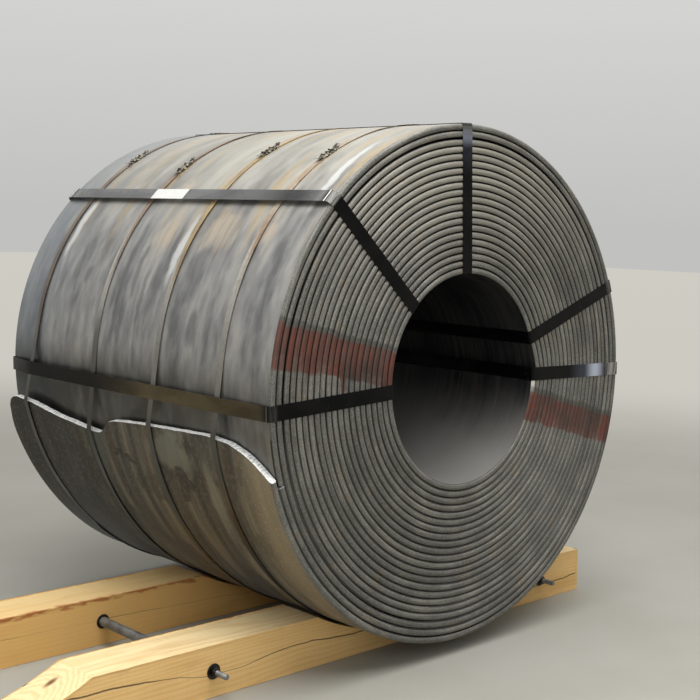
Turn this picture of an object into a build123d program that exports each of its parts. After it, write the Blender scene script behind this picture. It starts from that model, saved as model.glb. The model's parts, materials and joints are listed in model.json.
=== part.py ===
from build123d import *
import os
from math import acos, cos, degrees, radians, sin

# Hot-rolled steel coil, strapped for transport, lying in a two-place timber cradle.
# Frame: +Z up, coil axis along Y, floor at Z = 0, X = 0 at the middle of the timbers,
# Y = 0 at the middle of the coil's width. Lengths in millimetres, angles in degrees,
# counted from +X towards +Z as seen from the front.

# Wound plate
BORE_RADIUS = 381.0
COIL_WIDTH = 1630.0
PLATE_THICKNESS = 23.8
SEAM_GAP = 1.4
INNER_TURNS = 21
EDGE_RELIEF = 8.0
SEAM_BEVEL_WIDTH = 4.0
OUTER_EDGE_CHAMFER = 4.0

# Free tail of the outermost turn
TAIL_ANGLE = -171.5
TAIL_ROOT_ANGLE = -132.0
TAIL_LIFT_FRONT = 1.0
TAIL_LIFT_REAR = 34.0
TAIL_CORNER_DROP = 190.0
# Outline of the torn end: share of the width from the front face, angle of the edge
TAIL_EDGE = [
    (0.0, -163.0),
    (0.031, -165.6),
    (0.064, -167.8),
    (0.113, -169.5),
    (0.184, -170.3),
    (0.423, -169.6),
    (0.521, -169.0),
    (0.555, -168.2),
    (0.580, -165.6),
    (0.604, -165.2),
    (0.761, -167.0),
    (0.871, -169.0),
    (0.945, -169.8),
    (0.975, -168.6),
    (0.991, -166.0),
]

# Girth straps, round the outside
GIRTH_STRAP_WIDTH = 31.8
GIRTH_STRAP_THICKNESS = 1.1
STRAP_TIP_LEAD = 0.1
# Shares of the width from the front face to the middle of each strap
GIRTH_STRAP_SHARES = [0.163, 0.387, 0.632, 0.893]
SEAL_LENGTH = 57.0
SEAL_THICKNESS = 1.2
SEAL_OVERHANG = 3.0
GIRTH_SEAL_ANGLES = [120.8, 118.9, 125.9, 121.2]

# Eye straps, through the bore
EYE_STRAP_WIDTH = 50.8
EYE_STRAP_THICKNESS = 1.1
EYE_BEND_PER_STANDOFF = 1.2
EYE_SEAL_LENGTH = 76.0
TOP_SEAL_REAR_INSET = 150.0
EYE_STRAP_NAMES = ["two_oclock", "three_oclock", "nine_oclock", "ten_oclock", "twelve_oclock"]
EYE_STRAP_ANGLES = [20.5, -1.0, 183.3, 137.0, 92.5]
# Distance at which each tight strap clears the coil's outer rims
EYE_STRAP_STANDOFFS = [3.0, 3.0, 6.0, 16.0, 2.0]

# Timber cradle
TIMBER_LENGTH = 3900.0
TIMBER_HEIGHT = 171.0
TIMBER_DEPTH = 195.0
FRONT_TIMBER_SETBACK = 228.0
REAR_TIMBER_SETBACK = 889.0
PLACE_PITCH = 1876.0
SCOOP_OVERSIZE = 118.0
SCOOP_FLOOR = 53.0

# Tie rods with their spacer pipes, washers and nuts
ROD_DIAMETER = 19.05
ROD_HEIGHT = 85.0
ROD_HOLE_CLEARANCE = 1.5
ROD_FRONT_STICKOUT = 74.0
ROD_REAR_STICKOUT = 45.0
ROD_END_INSET = 262.0
SPACER_PIPE_DIAMETER = 33.4
SPACER_PIPE_WALL = 3.4
WASHER_DIAMETER = 50.8
WASHER_THICKNESS = 4.0
NUT_ACROSS_FLATS = 28.6
NUT_THICKNESS = 16.3
HARDWARE_BORE_CLEARANCE = 0.15
HARDWARE_BORE_SIDES = 12

# Distance kept between pieces that only lie on each other
SEAT_GAP = 0.3

# Angle that one arc of a spiral outline covers
ARC_SPAN = 60.0
# Angle before the tail's edge at which a strap is taken to leave the turn below
BRIDGE_SPAN = 15.0
# Reach of a cutting body past what it cuts
CUT_MARGIN = 1.0

turn_pitch = PLATE_THICKNESS + SEAM_GAP
core_radius = BORE_RADIUS + INNER_TURNS * turn_pitch
tail_radius = core_radius + 1.5 * turn_pitch
rod_radius = ROD_DIAMETER / 2
coil_x = PLACE_PITCH / 2
girth_strap_places = [share * COIL_WIDTH for share in GIRTH_STRAP_SHARES]
front_y = -COIL_WIDTH / 2
rear_y = COIL_WIDTH / 2


def polar(radius, angle):
    """Point of the coil's section at a radius and angle."""
    return (radius * cos(radians(angle)), radius * sin(radians(angle)))


def layer_radius(angle):
    """Outside radius of the last turn, which shrinks by a pitch in each full turn from its tail."""
    return tail_radius - turn_pitch * (angle - TAIL_ANGLE) / 360


def tail_lift(setback):
    """Spring of the tail off the coil at a distance behind the front face."""
    return TAIL_LIFT_FRONT + (TAIL_LIFT_REAR - TAIL_LIFT_FRONT) * setback / COIL_WIDTH


def tail_inner_radius(angle, lift):
    """Inside radius of the sprung tail, which leaves the turn below it at its root."""
    share = (TAIL_ROOT_ANGLE - angle) / (TAIL_ROOT_ANGLE - TAIL_ANGLE)
    return layer_radius(angle + 360) + SEAM_GAP + lift * share**2


def tail_outer_radius(angle, lift):
    return tail_inner_radius(angle, lift) + PLATE_THICKNESS


def tail_edge_angle(setback):
    """Angle at which the torn edge lies at a distance behind the front face."""
    share = setback / COIL_WIDTH
    for (first, first_angle), (last, last_angle) in zip(TAIL_EDGE, TAIL_EDGE[1:]):
        if first <= share <= last:
            return first_angle + (last_angle - first_angle) * (share - first) / (last - first)
    return TAIL_EDGE[-1][1]


def spiral(radius_at, start, end):
    """Chain of arcs along a curve whose radius is a function of the angle."""
    count = max(1, round(abs(end - start) / ARC_SPAN))
    span = (end - start) / count
    arcs = []
    for number in range(count):
        angles = [start + span * (number + share) for share in (0, 0.5, 1)]
        arcs.append(ThreePointArc(*[polar(radius_at(a), a) for a in angles]))
    return Curve() + arcs


def on_coil(shape):
    """Moves a shape drawn with the coil's axis as Z, rear face at zero, to its place."""
    return Location((coil_x, rear_y, axis_z), (90, 0, 0)) * shape


def from_front(setback):
    """Height along the drawn axis of a place behind the front face."""
    return COIL_WIDTH - setback


# The coil's lowest outside point carries it through a strap on the scoop's floor
strap_rise = SEAT_GAP + GIRTH_STRAP_THICKNESS
rest_radius = layer_radius(-90) + strap_rise + SEAT_GAP
axis_z = SCOOP_FLOOR + rest_radius
scoop_radius = rest_radius + SCOOP_OVERSIZE


def turned_core():
    """Inner turns as one turned ring, each turn showing as a ridge on both ends."""
    front = [(BORE_RADIUS, COIL_WIDTH - EDGE_RELIEF)]
    for turn in range(INNER_TURNS):
        seam = BORE_RADIUS + turn * turn_pitch
        front.append((seam + turn_pitch / 2, COIL_WIDTH))
        front.append((seam + turn_pitch, COIL_WIDTH - EDGE_RELIEF))
    rear = [(radius, COIL_WIDTH - height) for radius, height in reversed(front)]
    section = Plane.XZ * make_face(Polyline(*front, *rear, close=True))
    return revolve(section, Axis.Z)


def outer_turn():
    """Last turn as a spiral band with a step where its tail starts."""
    start = TAIL_ROOT_ANGLE
    end = TAIL_ROOT_ANGLE + 360
    outside = spiral(layer_radius, start, end)
    step = Line(polar(layer_radius(end), end), polar(layer_radius(start), start))
    band = make_face(outside + step) - Circle(core_radius)
    body = extrude(band, COIL_WIDTH)
    arcs = body.edges().filter_by(GeomType.CIRCLE)
    rims = [edge for edge in arcs if edge.radius > core_radius + SEAM_BEVEL_WIDTH]
    body = chamfer(rims, OUTER_EDGE_CHAMFER)
    return body - seam_bevel(COIL_WIDTH, -1) - seam_bevel(0, 1)


def seam_bevel(height, inwards):
    """Ring taken off the last turn's inner rim, where the seam sinks between two turns."""
    rim = (core_radius, height)
    out = (core_radius + SEAM_BEVEL_WIDTH, height)
    deep = (core_radius, height + inwards * EDGE_RELIEF)
    return revolve(Plane.XZ * make_face(Polyline(rim, out, deep, close=True)), Axis.Z)


def tail_section(lift):
    """Section of the sprung tail from its root to past its end."""
    root, end = TAIL_ROOT_ANGLE, TAIL_ANGLE
    inside = spiral(lambda a: tail_inner_radius(a, lift), root, end)
    outside = spiral(lambda a: tail_outer_radius(a, lift), end, root)
    tip = Line(polar(tail_inner_radius(end, lift), end), polar(tail_outer_radius(end, lift), end))
    seat = Line(polar(tail_outer_radius(root, lift), root), polar(tail_inner_radius(root, lift), root))
    return make_face(inside + tip + outside + seat)


def tail():
    """Sprung tail with its torn outline."""
    rear = tail_section(TAIL_LIFT_REAR)
    front = Pos(0, 0, COIL_WIDTH) * tail_section(TAIL_LIFT_FRONT)
    plate = loft([rear, front], ruled=True)
    edge = []
    for share, angle in TAIL_EDGE:
        setback = share * COIL_WIDTH
        height = tail_outer_radius(angle, tail_lift(setback)) * sin(radians(angle))
        edge.append((height, from_front(setback)))
    past_rear, past_front = -CUT_MARGIN, COIL_WIDTH + CUT_MARGIN
    corner = [(edge[-1][0] - TAIL_CORNER_DROP, past_rear), (tail_radius, past_rear)]
    above = [(tail_radius, past_front), (edge[0][0], past_front)]
    outline = make_face(Polyline(*edge, *corner, *above, close=True))
    depth = tail_radius + TAIL_LIFT_REAR
    return plate - Pos(-depth, 0, 0) * extrude(Plane.YZ * outline, depth)


def coil():
    return on_coil(turned_core() + outer_turn() + tail())


def strap_tip(setback):
    """Lift, angle and radius of the tail's edge under a girth strap, where it reaches furthest."""
    half = GIRTH_STRAP_WIDTH / 2
    lift = tail_lift(setback + half)
    angle = min(tail_edge_angle(setback + shift) for shift in (-half, 0, half)) - STRAP_TIP_LEAD
    return lift, angle, tail_outer_radius(angle, lift)


def touch_angle(setback, gap):
    """Angle at which a tight strap coming from the tail's edge meets the turn below."""
    _, tip, tip_radius = strap_tip(setback)
    below = layer_radius(tip + 360 - BRIDGE_SPAN) + gap
    return tip + 360 - degrees(acos(below / (tip_radius + gap)))


def strap_loop(setback, gap):
    """Line of a tight strap round the coil at a gap from its outside."""
    lift, tip, tip_radius = strap_tip(setback)
    touch = touch_angle(setback, gap)
    root = TAIL_ROOT_ANGLE
    around = spiral(lambda a: layer_radius(a) + gap, root, touch)
    bridge = Line(polar(layer_radius(touch) + gap, touch), polar(tip_radius + gap, tip))
    over_tail = spiral(lambda a: tail_outer_radius(a, lift) + gap, tip, root)
    return make_face(around + bridge + over_tail)


def girth_strap(setback):
    ring = strap_loop(setback, strap_rise) - strap_loop(setback, SEAT_GAP)
    height = from_front(setback + GIRTH_STRAP_WIDTH / 2)
    return on_coil(Pos(0, 0, height) * extrude(ring, GIRTH_STRAP_WIDTH))


def girth_seal(setback, angle):
    """Crimped seal over a girth strap's joint."""
    rise = layer_radius(angle) + strap_rise + SEAT_GAP
    width = GIRTH_STRAP_WIDTH + 2 * SEAL_OVERHANG
    half = degrees(SEAL_LENGTH / 2 / rise)
    ring = Circle(rise + SEAL_THICKNESS) - Circle(rise)
    sides = [polar(1.2 * rise, angle + turn) for turn in (-half, half)]
    sector = make_face(Polyline((0, 0), *sides, close=True))
    return on_coil(Pos(0, 0, from_front(setback) - width / 2) * extrude(ring & sector, width))


def girth_rise(setback, angle):
    """Height of a girth strap's outside under a flat strap at an angle, also on its bridge to the tail."""
    _, tip, _ = strap_tip(setback)
    touch = touch_angle(setback, strap_rise)
    lean = angle - touch
    if 0 < lean < tip + 360 - touch:
        edge = EYE_STRAP_WIDTH / 2 * sin(radians(lean))
        return (layer_radius(touch) + strap_rise + edge) / cos(radians(lean))
    return layer_radius(angle) + strap_rise


def eye_run(angle, rim_standoff):
    """Points of a tight strap's outer run, over the girth straps from rim to rim."""
    rim = layer_radius(angle) + rim_standoff
    half = GIRTH_STRAP_WIDTH / 2
    points = [(-SEAT_GAP, rim)]
    for place in girth_strap_places:
        rise = girth_rise(place, angle) + SEAT_GAP
        points += [(place - half, rise), (place + half, rise)]
    points.append((COIL_WIDTH + SEAT_GAP, rim))
    run = []
    for point in points:
        while len(run) > 1 and bends_in(run[-2], run[-1], point):
            run.pop()
        run.append(point)
    return run


def bends_in(first, middle, last):
    """True where the middle point lies below the straight line of its neighbours."""
    share = (middle[0] - first[0]) / (last[0] - first[0])
    return middle[1] <= first[1] + share * (last[1] - first[1])


def eye_outline(angle, rim_standoff, grow):
    """Filled outline of an eye strap's loop, seen from the coil's side, with round outer bends."""
    run = eye_run(angle, rim_standoff)
    points = [(radius + grow, from_front(setback)) for setback, radius in run]
    front = (points[0][0], COIL_WIDTH + SEAT_GAP + grow)
    rear = (points[-1][0], -SEAT_GAP - grow)
    low = BORE_RADIUS - EYE_STRAP_WIDTH / 2
    outline = Polyline(front, *points[1:-1], rear, (low, rear[1]), (low, front[1]), close=True)
    face = make_face(outline)
    bends = [v for v in face.vertices() if v.X > BORE_RADIUS and (v.Y > COIL_WIDTH or v.Y < 0)]
    return fillet(bends, OUTER_EDGE_CHAMFER + EYE_BEND_PER_STANDOFF * rim_standoff + grow)


def eye_strap(angle, rim_standoff):
    """Strap loop through the bore: run over the outside, legs down both ends, run along the bore."""
    width = EYE_STRAP_WIDTH
    outer = eye_outline(angle, rim_standoff, EYE_STRAP_THICKNESS)
    inner = eye_outline(angle, rim_standoff, 0.0)
    sheet = Plane.XZ * Pos(0, 0, -width / 2) * outer
    hole = Plane.XZ * Pos(0, 0, -width / 2) * inner
    loop = extrude(sheet, width) - extrude(hole, width)
    bore_side = BORE_RADIUS - SEAT_GAP
    bore_inside = bore_side - EYE_STRAP_THICKNESS
    reach = EYE_STRAP_THICKNESS + SEAT_GAP
    loop = loop - Pos(0, 0, -reach) * extrude(Circle(bore_inside), COIL_WIDTH + 2 * reach)
    ring = Pos(0, 0, -reach) * extrude(Circle(bore_side) - Circle(bore_inside), COIL_WIDTH + 2 * reach)
    keep = Pos(bore_side, 0, COIL_WIDTH / 2) * Box(width, width, COIL_WIDTH + 2 * reach)
    return on_coil(Rot(0, 0, angle) * (loop + (ring & keep)))


def eye_seal_on_run(angle, rim_standoff):
    """Seal on an eye strap's outer run, near its rear end."""
    run = eye_run(angle, rim_standoff)
    rise = max(radius for _, radius in run) + EYE_STRAP_THICKNESS + SEAT_GAP
    width = EYE_STRAP_WIDTH + 2 * SEAL_OVERHANG
    block = Box(SEAL_THICKNESS, width, EYE_SEAL_LENGTH)
    place = Pos(rise + SEAL_THICKNESS / 2, 0, TOP_SEAL_REAR_INSET)
    return on_coil(Rot(0, 0, angle) * place * block)


def eye_seal_on_end(angle):
    """Seal on an eye strap's leg across the rear end."""
    width = EYE_STRAP_WIDTH + 2 * SEAL_OVERHANG
    block = Box(EYE_SEAL_LENGTH, width, SEAL_THICKNESS)
    depth = SEAT_GAP + EYE_STRAP_THICKNESS + SEAT_GAP + SEAL_THICKNESS / 2
    place = Pos((BORE_RADIUS + core_radius) / 2, 0, -depth)
    return on_coil(Rot(0, 0, angle) * place * block)


def rod_places():
    """Distances along the timbers of the tie rods: the middle hump and both end humps."""
    end = TIMBER_LENGTH / 2 - ROD_END_INSET
    return {"left": -end, "middle": 0.0, "right": end}


def timber(setback):
    """Squared timber with a round scoop for each coil and holes for the tie rods."""
    face = Pos(0, TIMBER_HEIGHT / 2) * Rectangle(TIMBER_LENGTH, TIMBER_HEIGHT)
    for side in (-1, 1):
        face -= Pos(side * PLACE_PITCH / 2, SCOOP_FLOOR + scoop_radius) * Circle(scoop_radius)
    for place in rod_places().values():
        face -= Pos(place, ROD_HEIGHT) * Circle(rod_radius + ROD_HOLE_CLEARANCE)
    return Location((0, front_y + setback + TIMBER_DEPTH, 0), (90, 0, 0)) * extrude(face, TIMBER_DEPTH)


def timber_faces():
    """Places of both timbers' front and rear faces, with the side that each one looks to."""
    faces = []
    for setback in (FRONT_TIMBER_SETBACK, REAR_TIMBER_SETBACK):
        faces.append((front_y + setback, -1))
        faces.append((front_y + setback + TIMBER_DEPTH, 1))
    return faces


def along_y(face, start, length):
    """Prism of a face in the XZ plane, from start towards +Y."""
    return Location((0, start + length, 0), (90, 0, 0)) * extrude(face, length)


def tie_rod(place):
    start = front_y + FRONT_TIMBER_SETBACK - ROD_FRONT_STICKOUT
    end = front_y + REAR_TIMBER_SETBACK + TIMBER_DEPTH + ROD_REAR_STICKOUT
    return along_y(Pos(place, ROD_HEIGHT) * Circle(rod_radius), start, end - start)


def hardware_bore():
    """Hole of a nut or washer, which the rod fills: few sides, none nearer than the rod."""
    flat_radius = rod_radius + HARDWARE_BORE_CLEARANCE
    return RegularPolygon(flat_radius, HARDWARE_BORE_SIDES, major_radius=False)


def spacer_pipe(place):
    """Pipe over the rod that keeps the timbers apart, between the two inner washers."""
    outside = SPACER_PIPE_DIAMETER / 2
    ring = Circle(outside) - Circle(outside - SPACER_PIPE_WALL)
    start = front_y + FRONT_TIMBER_SETBACK + TIMBER_DEPTH + WASHER_THICKNESS
    end = front_y + REAR_TIMBER_SETBACK - WASHER_THICKNESS
    return along_y(Pos(place, ROD_HEIGHT) * ring, start, end - start)


def washers(place):
    """Washers of one rod, one on each face of both timbers."""
    ring = Circle(WASHER_DIAMETER / 2) - hardware_bore()
    pieces = []
    for face_y, side in timber_faces():
        start = min(face_y, face_y + side * WASHER_THICKNESS)
        pieces.append(along_y(Pos(place, ROD_HEIGHT) * ring, start, WASHER_THICKNESS))
    return Compound(pieces)


def nuts(place):
    """Nuts of one rod, outside the front and the rear timber."""
    ring = RegularPolygon(NUT_ACROSS_FLATS / 2, 6, major_radius=False) - hardware_bore()
    front_face, rear_face = timber_faces()[0][0], timber_faces()[-1][0]
    starts = (front_face - WASHER_THICKNESS - NUT_THICKNESS, rear_face + WASHER_THICKNESS)
    return Compound([along_y(Pos(place, ROD_HEIGHT) * ring, start, NUT_THICKNESS) for start in starts])


def all_parts():
    parts = {"coil": coil()}
    for number, (setback, angle) in enumerate(zip(girth_strap_places, GIRTH_SEAL_ANGLES), 1):
        parts[f"girth_strap_{number}"] = girth_strap(setback)
        parts[f"girth_seal_{number}"] = girth_seal(setback, angle)
    for name, angle, standoff in zip(EYE_STRAP_NAMES, EYE_STRAP_ANGLES, EYE_STRAP_STANDOFFS):
        parts[f"eye_strap_{name}"] = eye_strap(angle, standoff)
        on_top = name == "twelve_oclock"
        seal = eye_seal_on_run(angle, standoff) if on_top else eye_seal_on_end(angle)
        parts[f"eye_seal_{name}"] = seal
    parts["timber_front"] = timber(FRONT_TIMBER_SETBACK)
    parts["timber_rear"] = timber(REAR_TIMBER_SETBACK)
    for place_name, place in rod_places().items():
        parts[f"tie_rod_{place_name}"] = tie_rod(place)
        parts[f"spacer_pipe_{place_name}"] = spacer_pipe(place)
        parts[f"washers_{place_name}"] = washers(place)
        parts[f"nuts_{place_name}"] = nuts(place)
    return parts


os.makedirs("parts", exist_ok=True)
for node, shape in all_parts().items():
    export_step(shape, f"parts/{node}.step")
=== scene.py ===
"""Looks of a strapped hot-rolled steel coil in its timber cradle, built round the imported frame."""
from __future__ import annotations

import json
import logging
import math
from dataclasses import dataclass
from enum import Enum
from typing import Any, Callable, Iterable, Sequence

import bmesh
import bpy
import numpy as np
from mathutils import Matrix, Vector, noise

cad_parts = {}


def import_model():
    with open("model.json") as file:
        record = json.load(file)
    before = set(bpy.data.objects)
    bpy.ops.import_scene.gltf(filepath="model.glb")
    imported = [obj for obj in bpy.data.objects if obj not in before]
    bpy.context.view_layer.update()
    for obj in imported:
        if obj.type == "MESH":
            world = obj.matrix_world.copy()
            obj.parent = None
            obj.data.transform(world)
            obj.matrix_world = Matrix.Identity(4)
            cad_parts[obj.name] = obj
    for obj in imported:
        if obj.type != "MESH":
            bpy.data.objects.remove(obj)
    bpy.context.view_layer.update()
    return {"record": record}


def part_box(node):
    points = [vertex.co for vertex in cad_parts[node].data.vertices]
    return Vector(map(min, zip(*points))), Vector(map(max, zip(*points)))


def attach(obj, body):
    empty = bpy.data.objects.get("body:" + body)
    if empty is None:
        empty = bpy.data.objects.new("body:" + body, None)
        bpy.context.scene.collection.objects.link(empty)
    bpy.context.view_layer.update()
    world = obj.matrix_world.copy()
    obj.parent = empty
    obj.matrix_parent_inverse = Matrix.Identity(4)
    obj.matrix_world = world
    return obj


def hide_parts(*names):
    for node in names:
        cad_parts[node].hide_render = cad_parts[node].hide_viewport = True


LOG = logging.getLogger("steel_coil")
BODY = "root"
MM = 0.001
SHARP_ANGLE = math.radians(38)
ALONG_AXIS = np.array([0.0, 1.0, 0.0])

Array = np.ndarray
Tree = bpy.types.NodeTree
Node = bpy.types.Node
Piece = bpy.types.Object
Material = bpy.types.Material
Inputs = dict[str, Any]
Pair = tuple[float, float]
Triple = tuple[float, float, float]
Patches = tuple[tuple[float, float, float, float], ...]
Stops = tuple[tuple[float, str], ...]
Shell = tuple[Array, list[list[int]]]


class Slot(Enum):
    """Material slots of the record, one for each kind of piece."""

    COIL = "hot_rolled_steel"
    GIRTH_STRAP = "rusted_strap_steel"
    GIRTH_SEAL = "rusted_seal_steel"
    EYE_STRAP = "black_strap_enamel"
    EYE_SEAL = "black_seal_enamel"
    TIMBER = "pine_timber"
    ROD = "galvanised_rod"
    PIPE = "galvanised_pipe"
    WASHER = "blackened_washer"
    NUT = "blackened_nut"


class Region(Enum):
    """Material numbers of the plate's faces."""

    SKIN = 0
    EDGE = 1
    TORN = 2
    BORE = 3


SETTINGS = {"Math": "operation", "VectorMath": "operation", "Mix": "data_type",
            "MapRange": "interpolation_type", "TexNoise": "noise_dimensions"}


class Kind(Enum):
    """Nodes that are added often: a shader node's name, and the setting that it is known for."""

    ADD = "Math", "ADD"
    SUBTRACT = "Math", "SUBTRACT"
    MULTIPLY = "Math", "MULTIPLY"
    MULTIPLY_ADD = "Math", "MULTIPLY_ADD"
    DIVIDE = "Math", "DIVIDE"
    ABSOLUTE = "Math", "ABSOLUTE"
    MAXIMUM = "Math", "MAXIMUM"
    GREATER = "Math", "GREATER_THAN"
    SINE = "Math", "SINE"
    COSINE = "Math", "COSINE"
    FLOOR = "Math", "FLOOR"
    FRACTION = "Math", "FRACT"
    SHIFT = "VectorMath", "ADD"
    OFFSET = "VectorMath", "SUBTRACT"
    STRETCH = "VectorMath", "MULTIPLY"
    SHRINK = "VectorMath", "DIVIDE"
    LENGTH = "VectorMath", "LENGTH"
    MIX = "Mix", "RGBA"
    SPAN = "MapRange", "SMOOTHSTEP"
    EVEN_SPAN = "MapRange", "LINEAR"
    RAMP = ("ValToRGB",)
    NOISE = "TexNoise", "3D"
    NOISE_ALONG = "TexNoise", "1D"
    SEPARATE = ("SeparateXYZ",)
    COMBINE = ("CombineXYZ",)
    STORED = ("Attribute",)
    BUMP = ("Bump",)


def linear(code: str) -> tuple[float, float, float, float]:
    """Turns an sRGB hex value to a linear colour.

    Args:
        code: six hex digits.

    Returns:
        Red, green, blue and an alpha of one.
    """
    channels = [int(code[i:i + 2], 16) / 255 for i in (0, 2, 4)]
    red, green, blue = (c / 12.92 if c <= 0.04045 else ((c + 0.055) / 1.055) ** 2.4 for c in channels)
    return red, green, blue, 1.0


def add(tree: Tree, kind: Kind | str, *values: Any, inputs: Inputs | None = None,
        stops: Stops = (), **settings: Any) -> Node:
    """Adds a node with its settings and links.

    Args:
        tree: the tree that gets the node.
        kind: a common kind, or a node's type name.
        values: a value, hex colour, node or socket for each input in use, in order. None skips one.
        inputs: the same for inputs by name.
        stops: positions and hex colours of a colour ramp.
        settings: the node's own properties.

    Returns:
        The new node.
    """
    if isinstance(kind, Kind):
        word, *choice = kind.value
        kind = f"ShaderNode{word}"
        if choice:
            settings = {SETTINGS[word]: choice[0], **settings}
    item = tree.nodes.new(kind)
    for name, value in settings.items():
        setattr(item, name, value)
    pairs = list(zip([socket for socket in item.inputs if socket.enabled], values))
    for socket, value in pairs + [(item.inputs[name], value) for name, value in (inputs or {}).items()]:
        if isinstance(value, Node):
            value = next(output for output in value.outputs if output.enabled)
        if isinstance(value, bpy.types.NodeSocket):
            tree.links.new(value, socket)
        elif value is not None:
            is_colour = isinstance(value, str) and socket.type == "RGBA"
            socket.default_value = linear(value) if is_colour else value
    for number, (position, code) in enumerate(stops):
        elements = item.color_ramp.elements
        element = elements[number] if number < len(elements) else elements.new(position)
        element.position = position
        element.color = linear(code)
    return item


def speckle(tree: Tree, place: Any, scale: float | Triple, detail: float, shift: float = 0.0) -> Node:
    """Adds noise whose cells have a size of one over its scale.

    Args:
        tree: the tree.
        place: where the noise is read.
        scale: cells in a metre, alike all ways or along each axis.
        detail: number of finer layers.
        shift: moves the noise, so that no two are alike.

    Returns:
        The noise's node.
    """
    spread = scale if isinstance(scale, tuple) else (scale, scale, scale)
    moved = add(tree, "ShaderNodeMapping", place, (shift, 1.7 * shift, 2.3 * shift), None, spread)
    return add(tree, Kind.NOISE, moved, 1.0, detail)


def between(tree: Tree, value: Any, low: float, high: float, soft: float, upper: Any = None) -> Node:
    """Adds a share that is one between two limits, with soft ends inside them.

    Args:
        tree: the tree.
        value: what is tested.
        low: the lower limit.
        high: the upper limit.
        soft: length of each soft end.
        upper: what is tested on the upper limit, where it isn't the same.

    Returns:
        The node that gives the share.
    """
    over = add(tree, Kind.SPAN, value, low, low + soft)
    under = add(tree, Kind.SPAN, upper or value, high, high - soft)
    return add(tree, Kind.MULTIPLY, over, under)


def smoothstep(value: Array | float) -> Array | float:
    """Smooth rise from zero to one, flat at both ends."""
    share = np.clip(value, 0.0, 1.0)
    return share * share * (3 - 2 * share)


def wander(place: float, scale: float, seed: float = 0.0) -> float:
    """Smooth noise along one line, from about minus one to one."""
    return noise.noise(Vector((place / scale, seed, 0.37 * seed)))


def spoke(turn: float) -> Array:
    """Direction away from the coil's axis at an angle in radians."""
    return np.array([math.cos(turn), 0.0, math.sin(turn)])


def place_object(name: str, mesh: bpy.types.Mesh) -> Piece:
    """Puts a mesh into the scene under a name."""
    item = bpy.data.objects.new(name, mesh)
    bpy.context.scene.collection.objects.link(item)
    return item


def piece(name: str, points: Array, faces: Iterable[Sequence[int]],
          regions: Sequence[int] | None = None, sharp: float = SHARP_ANGLE) -> Piece:
    """Makes an object from points and faces, smooth but for its sharp edges.

    Args:
        name: the piece's name.
        points: its vertices in metres.
        faces: vertex numbers of each face, either way round.
        regions: a material number for each face.
        sharp: the angle over which an edge stays sharp.

    Returns:
        The new object, with outward normals.
    """
    mesh = bpy.data.meshes.new(name)
    mesh.from_pydata([tuple(p) for p in points], [], [list(f) for f in faces])
    if regions is not None:
        mesh.polygons.foreach_set("material_index", list(regions))
    shell = bmesh.new()
    shell.from_mesh(mesh)
    bmesh.ops.recalc_face_normals(shell, faces=shell.faces)
    shell.to_mesh(mesh)
    shell.free()
    mesh.polygons.foreach_set("use_smooth", [True] * len(mesh.polygons))
    mesh.set_sharp_from_angle(angle=sharp)
    mesh.update()
    return place_object(name, mesh)


def tube(rings: int, corners: int, closed: bool) -> list[list[int]]:
    """Faces of a tube of rings, each ring with the same number of corners.

    Args:
        rings: the number of rings.
        corners: the number of points in a ring.
        closed: True joins the last ring to the first, False caps both ends.

    Returns:
        Vertex numbers of each face.
    """
    faces = []
    for ring in range(rings if closed else rings - 1):
        start, after = ring * corners, (ring + 1) % rings * corners
        for corner in range(corners):
            beside = (corner + 1) % corners
            faces.append([start + corner, start + beside, after + beside, after + corner])
    if not closed:
        faces += [list(range(corners)), list(range((rings - 1) * corners, rings * corners))]
    return faces


def swept(centres: Sequence[Array], wide: Sequence[Array], deep: Sequence[Array],
          sections: Sequence[Sequence[Pair]], closed: bool = False) -> Shell:
    """Sweeps sections along a line of places, with the directions of their two coordinates at each."""
    points = [centre + across * u + out * v for centre, across, out, section
              in zip(centres, wide, deep, sections) for u, v in section]
    return np.array(points), tube(len(centres), len(sections[0]), closed)


def turned(centre: Pair, profile: Sequence[Pair], sides: int,
           trim: Callable[[float], float] | None = None) -> Shell:
    """Turns a closed profile round an axis that runs along Y.

    Args:
        centre: the axis' X and Z.
        profile: pairs of radius and place along the axis.
        sides: steps round the axis.
        trim: gives the greatest radius at an angle, as for a hexagon.

    Returns:
        Points and faces.
    """
    points = []
    for side in range(sides):
        angle = 2 * math.pi * side / sides
        limit = trim(angle) if trim else math.inf
        points += [(centre[0] + min(radius, limit) * math.cos(angle), along,
                    centre[1] + min(radius, limit) * math.sin(angle)) for radius, along in profile]
    return np.array(points), tube(sides, len(profile), True)


def merged(shells: Sequence[Shell]) -> Shell:
    """Joins separate shells into one set of points and faces.

    Args:
        shells: the points and faces of each.

    Returns:
        All points and faces, in order.
    """
    points, faces = np.zeros((0, 3)), []
    for spots, sides in shells:
        faces += [[len(points) + corner for corner in side] for side in sides]
        points = np.vstack([points, spots])
    return points, faces


def note(item: Piece, name: str, values: Array) -> None:
    """Stores a number or a vector for each vertex, for the materials to read.

    Args:
        item: the piece.
        name: the attribute's name.
        values: one number or three for each vertex.
    """
    kind, slot = ("FLOAT", "value") if values.ndim == 1 else ("FLOAT_VECTOR", "vector")
    attribute = item.data.attributes.new(name, kind, "POINT")
    attribute.data.foreach_set(slot, values.astype(np.float32).ravel())


def settle(item: Piece, slot: Slot, node: str, *finishes: Material) -> Piece:
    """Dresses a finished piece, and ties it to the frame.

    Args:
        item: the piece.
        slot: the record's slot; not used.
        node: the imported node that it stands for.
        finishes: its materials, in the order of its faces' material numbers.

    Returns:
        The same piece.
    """
    faces = item.data.polygons
    regions = np.zeros(len(faces), np.int32)
    faces.foreach_get("material_index", regions)
    item.data.materials.clear()
    for finish in finishes:
        item.data.materials.append(finish)
    faces.foreach_set("material_index", regions)
    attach(item, BODY)
    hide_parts(node)
    LOG.info("%s: %d faces", item.name, len(faces))
    return item


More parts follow.
